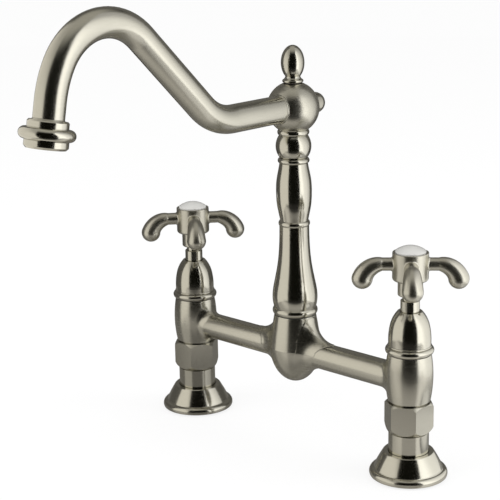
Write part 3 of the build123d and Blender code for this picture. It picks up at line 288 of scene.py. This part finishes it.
rubber = speckled(
    "black_rubber", (0.06, 0.06, 0.06, 1), (0.03, 0.03, 0.03, 1), roughness=0.62, scale=900.0, relief=0.15
)
fibre = speckled(
    "grey_fibre", (0.10, 0.09, 0.085, 1), (0.05, 0.045, 0.04, 1), roughness=0.80, scale=1400.0, relief=0.3
)
finish_nodes(rubber, *both("deck_gasket"))
finish_nodes(fibre, *both("union_washer"))


# --- Tailpieces and union nuts ----------------------------------------------------------------
# Each tailpiece is bare turned brass inside a plated hexagon nut. The nut's flats are brushed flat,
# round the nut, and its corners are turned to a cone.

BRASS = next(m["base_color"] for m in frame["record"]["materials"] if m["slot"] == "brass")
BRASS_DULL = (0.55, 0.41, 0.20, 1.0)

bare_brass, brass_tree, brass_shader = new_material("bare_brass")
brass_lines = add_node(
    brass_tree,
    "ShaderNodeGroup",
    {"node_tree": BRUSHED},
    {
        "Stretch": ROUND_THE_PIECE,
        "Roughness": 0.28,
        "Spread": 0.1,
        "Colour": (*BRASS, 1.0),
        "Dull Colour": BRASS_DULL,
    },
)
brass_tree.links.new(brass_lines.outputs["Colour"], brass_shader.inputs["Base Color"])
brass_tree.links.new(brass_lines.outputs["Roughness"], brass_shader.inputs["Roughness"])
brass_shader.inputs["Metallic"].default_value = 1.0
finish_nodes(bare_brass, *both("tailpiece"))

nut_nickel = brushed_nickel("nut_nickel", anisotropy=0.3, roughness=0.18)
finish_nodes(nut_nickel, *both("union_nut"))


# --- Inlet threads ----------------------------------------------------------------------------
# Each riser's foot is tapped with a half inch pipe thread for the supply pipe below the deck. The
# thread is left bare brass, and fades out over its first and last quarter turn.

THREAD_PITCH = 0.001814
THREAD_ROOT_R = 0.00932
THREAD_CREST_R = 0.00885
THREAD_LEVELS = (0.0012, 0.0128)
THREAD_ROOT_WIDTH = 0.0014
THREAD_CREST_WIDTH = 0.0004
THREAD_CORNERS = 4  # corners of a section
THREAD_STEPS = 48  # sections a turn
THREAD_FADE = 0.25  # turns over which each end of the thread grows to its full height
THREAD_END = 0.1  # share of the height at the very end
LEG_X = {"hot": -0.1016, "cold": 0.1016}


def mesh_piece(name, corners, faces, material, body):
    """Smooth mesh that rides on a body of the faucet."""
    mesh = bpy.data.meshes.new(name)
    mesh.from_pydata([tuple(corner) for corner in corners], [], faces)
    for face in mesh.polygons:
        face.use_smooth = True
    shell = bmesh.new()
    shell.from_mesh(mesh)
    bmesh.ops.recalc_face_normals(shell, faces=shell.faces)
    shell.to_mesh(mesh)
    shell.free()
    mesh.materials.append(material)
    piece = bpy.data.objects.new(name, mesh)
    bpy.context.scene.collection.objects.link(piece)
    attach(piece, body)


def strip_faces(sections, width, closed):
    """Faces between the sections of a strip, each a ring of corners; an open strip's ends are capped."""
    faces = []
    for a in range(sections if closed else sections - 1):
        b = (a + 1) % sections
        for i in range(width):
            j = (i + 1) % width
            faces.append((a * width + i, a * width + j, b * width + j, b * width + i))
    if not closed:
        faces.append(tuple(range(width)))
        faces.append(tuple(reversed(range((sections - 1) * width, sections * width))))
    return faces


thread_turns = (THREAD_LEVELS[1] - THREAD_LEVELS[0]) / THREAD_PITCH
thread_sections = int(thread_turns * THREAD_STEPS) + 1
thread_faces = strip_faces(thread_sections, THREAD_CORNERS, False)
for side in SIDES:
    corners = []
    for section in range(thread_sections):
        turn = section / THREAD_STEPS
        from_end = min(turn, thread_turns - turn)
        fade = min(1.0, from_end / THREAD_FADE + THREAD_END)
        crest_r = THREAD_ROOT_R + (THREAD_CREST_R - THREAD_ROOT_R) * fade
        middle = THREAD_LEVELS[0] + turn * THREAD_PITCH
        way = Vector((cos(2 * pi * turn), sin(2 * pi * turn), 0.0))
        for radius, rise in (
            (THREAD_ROOT_R, -THREAD_ROOT_WIDTH / 2),
            (crest_r, -THREAD_CREST_WIDTH / 2),
            (crest_r, THREAD_CREST_WIDTH / 2),
            (THREAD_ROOT_R, THREAD_ROOT_WIDTH / 2),
        ):
            corners.append(Vector((LEG_X[side], 0, middle + rise)) + way * radius)
    mesh_piece(f"{side}_inlet_thread", corners, thread_faces, bare_brass, "body")


# --- Bridge casting ---------------------------------------------------------------------------
# One hollow brass casting, belt brushed and plated: two barrels, the arms between them and the hub.
# The hub runs out into each arm in a wide hollow curve, which is laid over the casting here.

casting_nickel = brushed_nickel("casting_nickel", anisotropy=0.0, roughness=0.23, relief=0.002)
finish_nodes(casting_nickel, "bridge_casting")

HUB_FLARE_R = 0.021  # radius of that curve: a circle that rolls between the arm and the hub
ARM_AXIS_Z = 0.0678
ARM_RADIUS = 0.0094
HUB_TOP_Z = 0.0943
FLARE_TURNS = 120  # sections round the arm
FLARE_STEPS = 16  # corners along the curve of a section
FLARE_SAMPLES = 60  # distances from the arm at which the hub is looked for
FLARE_SINK = 0.0004  # how deep the flare's edge dives under the arm's surface
HUB_SINK = 0.0008  # how far its other edge dives along the bridge, under the hub's surface
RAY_START = 0.06  # place along the bridge, between the hub and a valve

casting = cad("bridge_casting")
casting_corners = [casting.matrix_world @ v.co for v in casting.data.vertices]
casting_tree = BVHTree.FromPolygons(casting_corners, [tuple(p.vertices) for p in casting.data.polygons])


def hub_contact(way, turn):
    """Where the circle, rolled in along the arm, meets the hub: its middle's place and the angle there."""
    middle = ARM_RADIUS + HUB_FLARE_R
    best = (0.0, 0.0)
    for i in range(1, FLARE_SAMPLES):
        out = ARM_RADIUS + HUB_FLARE_R * i / FLARE_SAMPLES
        start = Vector((way * RAY_START, out * cos(turn), ARM_AXIS_Z + out * sin(turn)))
        if start.z > HUB_TOP_Z:
            continue
        hit = casting_tree.ray_cast(start, Vector((-way, 0, 0)), RAY_START)[0]
        if hit:
            centre = hit.x * way + sqrt(HUB_FLARE_R**2 - (middle - out) ** 2)
            best = max(best, (centre, acos((middle - out) / HUB_FLARE_R)))
    return best


def hub_flare(name, way):
    """Closed shell over the casting, the hollow curve on its outside; way is -1 or 1 along the bridge."""
    corners = []
    for k in range(FLARE_TURNS):
        turn = 2 * pi * k / FLARE_TURNS
        centre, contact = hub_contact(way, turn)
        angles = [contact * i / FLARE_STEPS for i in range(FLARE_STEPS + 1)]
        curve = [(centre - HUB_FLARE_R * sin(a), ARM_RADIUS + HUB_FLARE_R * (1 - cos(a))) for a in angles]
        curve.insert(0, (curve[0][0] + FLARE_SINK, ARM_RADIUS - FLARE_SINK))
        curve.append((curve[-1][0] - HUB_SINK, curve[-1][1]))
        curve.append((curve[-1][0], ARM_RADIUS - FLARE_SINK))
        for x, out in curve:
            corners.append((way * x, out * cos(turn), ARM_AXIS_Z + out * sin(turn)))
    faces = strip_faces(FLARE_TURNS, len(corners) // FLARE_TURNS, True)
    mesh_piece(name, corners, faces, casting_nickel, "body")


hub_flare("hot_hub_flare", way=-1)
hub_flare("cold_hub_flare", way=1)


# --- Valves: cartridges, discs, spindles and guides -------------------------------------------
# A bare brass cartridge holds two lapped ceramic discs on a rubber seal. The brass spindle turns the
# upper disc, sealed by two O-rings, and a plated guide traps the spindle's shoulder.

ceramic = speckled(
    "lapped_ceramic", (0.93, 0.92, 0.88, 1), (0.84, 0.82, 0.77, 1), roughness=0.30, scale=1200.0, relief=0.02
)
finish_nodes(bare_brass, *both("cartridge_body"))
finish_nodes(rubber, *both("seat_seal", "spindle_o_rings"))
finish_nodes(ceramic, *both("fixed_disc", "moving_disc"))
finish_nodes(turned_nickel, *both("spindle", "stem_guide"))


# --- Bonnets ----------------------------------------------------------------------------------
# A bullet shaped brass cap is screwed over each cartridge on a fibre gasket. It is turned, brushed
# and plated like the risers.

finish_nodes(fibre, *both("bonnet_gasket"))
finish_nodes(turned_nickel, *both("bonnet"))


# --- Cross handles ----------------------------------------------------------------------------
# The handle is one casting with four drooping arms, brushed by hand along its arms. A steel screw
# holds it on the spindle's square, and a glazed porcelain button is pressed in over the screw.

handle_nickel = brushed_nickel("handle_nickel", anisotropy=0.0, roughness=0.28, relief=0.001)
finish_nodes(handle_nickel, *both("cross_handle"))

STEEL = (0.62, 0.62, 0.63, 1)
STEEL_DULL = (0.50, 0.50, 0.51, 1)
steel = speckled(
    "stainless_steel", STEEL, STEEL_DULL, roughness=0.30, scale=1500.0, relief=0.03, metallic=1.0
)
finish_nodes(steel, *both("handle_screw"))

PORCELAIN = (0.62, 0.615, 0.59, 1)
PORCELAIN_DARK = (0.57, 0.565, 0.54, 1)
porcelain = speckled(
    "glazed_porcelain", PORCELAIN, PORCELAIN_DARK, roughness=0.22, scale=260.0, relief=0.01
)
glaze = porcelain.node_tree.nodes["Principled BSDF"].inputs
glaze["Coat Weight"].default_value = 0.6
glaze["Coat Roughness"].default_value = 0.05
finish_nodes(porcelain, *both("index_button"))


# --- Spout column, swivel and retaining screw -------------------------------------------------
# The column is one turned bar with its rings, pear, vase and bulb. It turns on a plastic washer, coloured
# near black as painted shade in the gap under the column, and two O-rings in the hub, and a steel grub screw
# in the hub's back keeps it down.

# The washer's near-black colour is painted shade, which darkens the gap under the column's foot.
slip_plastic_painted_shade = speckled(
    "slip_plastic_painted_shade", (0.04, 0.04, 0.04, 1), (0.03, 0.03, 0.03, 1), roughness=0.42, scale=1000.0, relief=0.03
)
finish_nodes(slip_plastic_painted_shade, "swivel_washer")
finish_nodes(steel, "spout_retaining_screw")
finish_nodes(rubber, "swivel_o_rings")
finish_nodes(turned_nickel, "spout_column")


# --- Ball, finial and plug --------------------------------------------------------------------
# A turned ball joins column and tube. An egg shaped finial closes it above and a domed plug behind,
# each on a thin fibre washer.

ball_nickel = brushed_nickel("ball_nickel", roughness=0.26, anisotropy=0.3)
finish_nodes(ball_nickel, "spout_ball")
finish_nodes(turned_nickel, "ball_finial")

ROUND_THE_PLUG = (ALONG_SCRATCH, ACROSS_SCRATCH, ALONG_SCRATCH)  # the plug is turned about Y
plug_nickel = brushed_nickel("plug_nickel", stretch=ROUND_THE_PLUG, anisotropy=0.5, axis="Y")
finish_nodes(plug_nickel, "rear_plug")
finish_nodes(fibre, "finial_washer", "plug_washer")


# --- Spout tube -------------------------------------------------------------------------------
# Bent brass tube, soldered into the ball and the ferrule with a small hollow fillet, then belt
# brushed round its section and plated with them.

tube_nickel = brushed_nickel("tube_nickel", anisotropy=0.0, roughness=0.21, relief=0.002)
finish_nodes(tube_nickel, "spout_tube")

TUBE_R = 0.009525
BALL_R = 0.0182
BALL_MIDDLE = Vector((0.0, 0.0, 0.24206))
TUBE_RISE = 0.0005  # tube axis above the ball's middle
OUTLET_START = Vector((0.0, -0.213837, 0.263005))  # the ferrule's upper face, on the tube's axis
OUTLET_WAY = Vector((0.0, -0.19252, -0.98129))
FILLET_LEG = 0.0009
FILLET_HEEL = 0.12  # how full the hollow is, and how deep the fillet's root lies
FILLET_STEPS = 72
FILLET_BENDS = (0.0, 0.25, 0.5, 0.75, 1.0)  # places across the hollow, from the tube to the wall


def solder_fillet(name, seam):
    """Hollow fillet of solder; seam gives a corner and the ways up both of its walls for a turn."""
    corners = []
    for step in range(FILLET_STEPS):
        corner, tube_way, wall_way = seam(2 * pi * step / FILLET_STEPS)
        heel = (tube_way + wall_way) * FILLET_HEEL
        for t in FILLET_BENDS:
            bend = tube_way * (1 - t) ** 2 + heel * 2 * t * (1 - t) + wall_way * t**2
            corners.append(corner + bend * FILLET_LEG)
        corners.append(corner - heel * FILLET_LEG)
    faces = strip_faces(FILLET_STEPS, len(FILLET_BENDS) + 1, True)
    mesh_piece(name, corners, faces, tube_nickel, "spout")


def ball_seam(turn):
    """Where the level tube runs into the ball."""
    out = Vector((cos(turn), 0.0, sin(turn)))
    aside = TUBE_R * cos(turn)
    rise = TUBE_RISE + TUBE_R * sin(turn)
    from_middle = Vector((aside, -sqrt(BALL_R**2 - aside**2 - rise**2), rise))
    ball_out = from_middle / BALL_R
    up_the_ball = (out - ball_out * out.dot(ball_out)).normalized()
    return BALL_MIDDLE + from_middle, Vector((0.0, -1.0, 0.0)), up_the_ball


def ferrule_seam(turn):
    """Where the tube runs into the ferrule's upper face."""
    across = Vector((1.0, 0.0, 0.0))
    out = across * cos(turn) + across.cross(OUTLET_WAY) * sin(turn)
    return OUTLET_START + out * TUBE_R, -OUTLET_WAY, out


solder_fillet("ball_solder", ball_seam)
solder_fillet("ferrule_solder", ferrule_seam)


# --- Outlet -----------------------------------------------------------------------------------
# A turned ferrule with a round bead is soldered on the tube. The aerator screws into it: a plated
# housing, a moulded insert under a rubber washer, and a woven steel screen within the housing's lip.

aerator_plastic = speckled(
    "aerator_plastic", (0.80, 0.81, 0.82, 1), (0.70, 0.71, 0.72, 1), roughness=0.45, scale=900.0, relief=0.04
)
finish_nodes(turned_nickel, "outlet_ferrule", "aerator_housing")
finish_nodes(aerator_plastic, "aerator_insert")
finish_nodes(rubber, "aerator_washer")

SCREEN_DROP = 0.0162  # the wire screen's middle below the ferrule's upper face
SCREEN_R = 0.0088
SCREEN_PITCH = 0.0008
SCREEN_WIRE_R = 0.00012
STEPS_A_PITCH = 2  # points on a wire for each wire that it crosses

screen_curve = bpy.data.curves.new("aerator_screen", "CURVE")
screen_curve.dimensions = "3D"
screen_curve.bevel_depth = SCREEN_WIRE_R
screen_curve.bevel_resolution = 1
screen_curve.use_fill_caps = True
screen_across = Vector((1.0, 0.0, 0.0))
screen_along = screen_across.cross(OUTLET_WAY)
screen_middle = OUTLET_START + OUTLET_WAY * SCREEN_DROP
wires_a_side = int(SCREEN_R / SCREEN_PITCH)
for way, side_way, over in ((screen_across, screen_along, 1), (screen_along, screen_across, -1)):
    for wire in range(-wires_a_side, wires_a_side + 1):
        half_wire = sqrt(SCREEN_R**2 - (wire * SCREEN_PITCH) ** 2)
        reach = int(half_wire / SCREEN_PITCH * STEPS_A_PITCH)
        if reach < 1:
            continue
        spline = screen_curve.splines.new("POLY")
        spline.points.add(2 * reach)
        for point, step in zip(spline.points, range(-reach, reach + 1)):
            crossing = step / STEPS_A_PITCH
            lift = over * SCREEN_WIRE_R * cos(pi * (crossing + wire))
            in_plane = (way * crossing + side_way * wire) * SCREEN_PITCH
            point.co = (*(screen_middle + in_plane + OUTLET_WAY * lift), 1.0)
screen_curve.materials.append(steel)
screen = bpy.data.objects.new("aerator_screen", screen_curve)
bpy.context.scene.collection.objects.link(screen)
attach(screen, "spout")


# --- Studio: floor, cards and lamps -----------------------------------------------------------
# A pale floor and a white backdrop under two soft lamps. Cards, a roof, a table and a dark room, which
# only the metal sees, stand round the faucet, so it shows broad light bands beside dark ones.

CAMERA_PLACE = Vector((0.6465, -0.7319, 0.4036))
CAMERA_YAW = -43.30
CAMERA_PITCH = 15.05
CAMERA_ROLL = -1.07
FOCAL_PIXELS = 1432.0
IMAGE_PIXELS = 500.0
SENSOR_MM = 36.0
CAMERA_WAY = Vector((-sin(radians(CAMERA_YAW)), -cos(radians(CAMERA_YAW)), 0.0))  # towards the camera
CAMERA_RIGHT = Vector((cos(radians(CAMERA_YAW)), -sin(radians(CAMERA_YAW)), 0.0))
UP = Vector((0.0, 0.0, 1.0))


def stage_mesh(name, mesh, material):
    """Puts a mesh in the studio, as no part of the faucet."""
    mesh.materials.append(material)
    piece = bpy.data.objects.new(name, mesh)
    bpy.context.scene.collection.objects.link(piece)
    return piece


def glow(name, colour, strength):
    """Even glow, for the things that only the metal sees."""
    material, tree, shader = new_material(name)
    tree.nodes.remove(shader)
    light = add_node(tree, "ShaderNodeEmission", {}, {"Color": (*colour, 1.0), "Strength": strength})
    tree.links.new(light.outputs[0], tree.nodes["Material Output"].inputs["Surface"])
    return material


def only_for_gloss(piece):
    """Hides a thing from everything but reflections."""
    piece.visible_camera = False
    piece.visible_diffuse = False
    piece.visible_transmission = False
    piece.visible_shadow = False


def shaded_glow(name, colour, way, stops):
    """Glow with (place, strength) stops along one way over a card, or outwards from its middle."""
    material = glow(name, colour, 1.0)
    tree = material.node_tree
    place = add_node(tree, "ShaderNodeTexCoord")
    inputs = {0: place.outputs["Object"]}
    if way:
        inputs[1] = way
    measure = {"operation": "DOT_PRODUCT" if way else "LENGTH"}
    along = add_node(tree, "ShaderNodeVectorMath", measure, inputs)
    first, last = stops[0][0], stops[-1][0]
    share = add_node(
        tree,
        "ShaderNodeMapRange",
        {},
        {"Value": along.outputs["Value"], "From Min": first, "From Max": last},
    )
    ramp = add_node(tree, "ShaderNodeValToRGB", {}, {"Fac": share.outputs[0]})
    marks = ramp.color_ramp.elements
    while len(marks) < len(stops):
        marks.new(0.5)
    for mark, (spot, strength) in zip(marks, stops):
        mark.position = (spot - first) / (last - first)
        mark.color = (strength, strength, strength, 1.0)
    ramp.color_ramp.interpolation = "EASE"
    tree.links.new(ramp.outputs["Color"], tree.nodes["Emission"].inputs["Strength"])
    return material


CARD_HEIGHTS = (-0.7, 1.1)


def card(name, places, material):
    """Upright card through places given as (right of, in front of) the faucet, seen by the camera."""
    corners = []
    for aside, near in places:
        foot = CAMERA_RIGHT * aside + CAMERA_WAY * near
        corners += [foot + UP * height for height in CARD_HEIGHTS]
    mesh = bpy.data.meshes.new(name)
    mesh.from_pydata(corners, [], [(2 * i, 2 * i + 2, 2 * i + 3, 2 * i + 1) for i in range(len(places) - 1)])
    only_for_gloss(stage_mesh(name, mesh, material))


DISC_STEPS = 48


def disc(name, radius, height, material):
    """Level disc round the origin of its object."""
    turns = [2 * pi * i / DISC_STEPS for i in range(DISC_STEPS)]
    corners = [(radius * cos(turn), radius * sin(turn), height) for turn in turns]
    mesh = bpy.data.meshes.new(name)
    mesh.from_pydata(corners, [], [tuple(range(DISC_STEPS))])
    return stage_mesh(name, mesh, material)


WARM = (1.0, 0.965, 0.89)
COOL = (1.0, 0.99, 0.97)
LEFT_BACK = (-0.27, -0.05)
LEFT_FRONT = (-0.60, 0.75)
RIGHT_BACK = (0.24, -0.12)
RIGHT_FRONT = (0.55, 0.75)
FAR_LEFT = (-0.7, -0.9)
FAR_RIGHT = (0.7, -0.9)
LEFT_STOPS = ((-0.7, 0.5), (-0.25, 0.9))
RIGHT_STOPS = ((-0.25, 0.55), (0.03, 1.2), (0.22, 1.7))
RIGHT_WAY = CAMERA_WAY - UP * 0.4  # the right card grows lighter towards its front and downwards
BACK_STOPS = ((-0.25, 0.03), (0.05, 0.11), (0.6, 0.16))
card("left_card", (LEFT_BACK, LEFT_FRONT), shaded_glow("left_glow", WARM, -UP, LEFT_STOPS))
card("right_card", (RIGHT_BACK, RIGHT_FRONT), shaded_glow("right_glow", COOL, RIGHT_WAY, RIGHT_STOPS))
back_glow = shaded_glow("back_glow", WARM, UP, BACK_STOPS)
card("back_card", (RIGHT_BACK, FAR_RIGHT, FAR_LEFT, LEFT_BACK), back_glow)

ROOM_R = 2.5
ROOM_COLOUR = (1.0, 1.0, 0.6)
ROOM_GLOW = 0.004
room_sphere = bmesh.new()
bmesh.ops.create_icosphere(room_sphere, subdivisions=4, radius=ROOM_R)
room_mesh = bpy.data.meshes.new("dark_room")
room_sphere.to_mesh(room_mesh)
room_sphere.free()
only_for_gloss(stage_mesh("dark_room", room_mesh, glow("dark_room_glow", ROOM_COLOUR, ROOM_GLOW)))

ROOF_R = 1.2
ROOF_HEIGHT = 1.3
ROOF_COLOUR = (1.0, 0.97, 0.88)
ROOF_STOPS = ((0.3, 0.45), (1.15, 0.05))
roof = disc("roof_card", ROOF_R, 0.0, shaded_glow("roof_glow", ROOF_COLOUR, None, ROOF_STOPS))
roof.location.z = ROOF_HEIGHT
only_for_gloss(roof)

# The table glows as a painted strip of light before the faucet, dimmer close in front of it as painted
# shade, and mirrors the cards faintly.
TABLE_R = 0.45
TABLE_LEVEL = -0.0005
TABLE_COLOUR = (1.0, 0.96, 0.90)
TABLE_STOPS = ((0.03, 0.15), (0.14, 0.42), (0.20, 0.36), (0.28, 0.02))
table_material = shaded_glow("table_glow", TABLE_COLOUR, CAMERA_WAY, TABLE_STOPS)
table_tree = table_material.node_tree
sheen = add_node(table_tree, "ShaderNodeBsdfGlossy", {}, {"Roughness": 0.2, "Color": (0.33, 0.33, 0.33, 1)})
blend = add_node(
    table_tree,
    "ShaderNodeAddShader",
    {},
    {0: table_tree.nodes["Emission"].outputs[0], 1: sheen.outputs[0]},
)
table_tree.links.new(blend.outputs[0], table_tree.nodes["Material Output"].inputs["Surface"])
only_for_gloss(disc("table_card", TABLE_R, TABLE_LEVEL, table_material))

# A painted patch of light beside the nearer valve, which its nut and riser mirror on their right.
PATCH_R = 0.06
PATCH_PLACE = CAMERA_RIGHT * 0.178 + CAMERA_WAY * 0.072 - UP * 0.0003
PATCH_STOPS = ((0.03, 0.85), (0.06, 0.25))
patch = disc("table_patch", PATCH_R, 0.0, shaded_glow("patch_glow", COOL, None, PATCH_STOPS))
patch.location = PATCH_PLACE
only_for_gloss(patch)

# The camera sees the floor mostly as plain white, with the faucet's shadow faint on it.
FLOOR_R = 4.0
FLOOR_LEVEL = -0.001
FLOOR_WHITE = 0.8  # share of plain white in what the camera sees
floor_material, floor_tree, floor_shader = new_material("pale_floor")
floor_shader.inputs["Base Color"].default_value = (0.93, 0.93, 0.93, 1)
floor_shader.inputs["Roughness"].default_value = 0.9
floor_shader.inputs["Specular IOR Level"].default_value = 0.1
seen_directly = add_node(floor_tree, "ShaderNodeLightPath")
share = add_node(
    floor_tree,
    "ShaderNodeMath",
    {"operation": "MULTIPLY"},
    {0: seen_directly.outputs["Is Camera Ray"], 1: FLOOR_WHITE},
)
white = add_node(floor_tree, "ShaderNodeEmission", {}, {"Color": (1, 1, 1, 1), "Strength": 1.0})
floor_mix = add_node(
    floor_tree,
    "ShaderNodeMixShader",
    {},
    {0: share.outputs[0], 1: floor_shader.outputs[0], 2: white.outputs[0]},
)
floor_tree.links.new(floor_mix.outputs[0], floor_tree.nodes["Material Output"].inputs["Surface"])
floor = disc("floor", FLOOR_R, FLOOR_LEVEL, floor_material)
floor.visible_glossy = False

# The backdrop is plain white to the camera, and lights the faucet a little less.
BACKDROP_LIGHT = 0.95
world = bpy.data.worlds.new("white_backdrop")
bpy.context.scene.world = world
world.use_nodes = True
world_tree = world.node_tree
path = add_node(world_tree, "ShaderNodeLightPath")
seen = add_node(
    world_tree,
    "ShaderNodeMath",
    {"operation": "MAXIMUM"},
    {0: path.outputs["Is Camera Ray"], 1: path.outputs["Is Glossy Ray"]},
)
seen_at_all = add_node(
    world_tree,
    "ShaderNodeMath",
    {"operation": "MAXIMUM"},
    {0: seen.outputs[0], 1: path.outputs["Is Transmission Ray"]},
)
level = add_node(
    world_tree,
    "ShaderNodeMapRange",
    {},
    {"Value": seen_at_all.outputs[0], "To Min": BACKDROP_LIGHT, "To Max": 1.0},
)
background = world_tree.nodes["Background"]
world_tree.links.new(level.outputs[0], background.inputs["Strength"])
background.inputs["Color"].default_value = (1, 1, 1, 1)

LAMP_SIZE = 1.0
LAMP_DISTANCE = 1.3
LAMP_HEIGHT = 0.9
LAMP_AIM = UP * 0.1


def soft_lamp(name, azimuth, power):
    """Square lamp that shines on the faucet; azimuth is in degrees to the right of the camera."""
    lamp = bpy.data.lights.new(name, "AREA")
    lamp.shape = "SQUARE"
    lamp.size = LAMP_SIZE
    lamp.energy = power
    piece = bpy.data.objects.new(name, lamp)
    turn = radians(azimuth)
    way = CAMERA_RIGHT * sin(turn) + CAMERA_WAY * cos(turn)
    piece.location = way * LAMP_DISTANCE + UP * LAMP_HEIGHT
    piece.rotation_euler = (LAMP_AIM - piece.location).to_track_quat("-Z", "Y").to_euler()
    piece.visible_glossy = False
    bpy.context.scene.collection.objects.link(piece)


soft_lamp("left_lamp", azimuth=-70, power=6.0)
soft_lamp("right_lamp", azimuth=75, power=8.0)

yaw = radians(CAMERA_YAW)
pitch = radians(CAMERA_PITCH)
roll = radians(CAMERA_ROLL)
ahead = Vector((sin(yaw) * cos(pitch), cos(yaw) * cos(pitch), -sin(pitch)))
level_up = CAMERA_RIGHT.cross(ahead)
right = CAMERA_RIGHT * cos(roll) + level_up * sin(roll)
up = level_up * cos(roll) - CAMERA_RIGHT * sin(roll)
camera_data = bpy.data.cameras.new("camera")
camera_data.sensor_width = SENSOR_MM
camera_data.lens = FOCAL_PIXELS / IMAGE_PIXELS * SENSOR_MM
camera = bpy.data.objects.new("camera", camera_data)
camera.matrix_world = Matrix((right, up, -ahead)).transposed().to_4x4()
camera.location = CAMERA_PLACE
bpy.context.scene.collection.objects.link(camera)
bpy.context.scene.camera = camera
bpy.context.scene.view_settings.view_transform = "Standard"
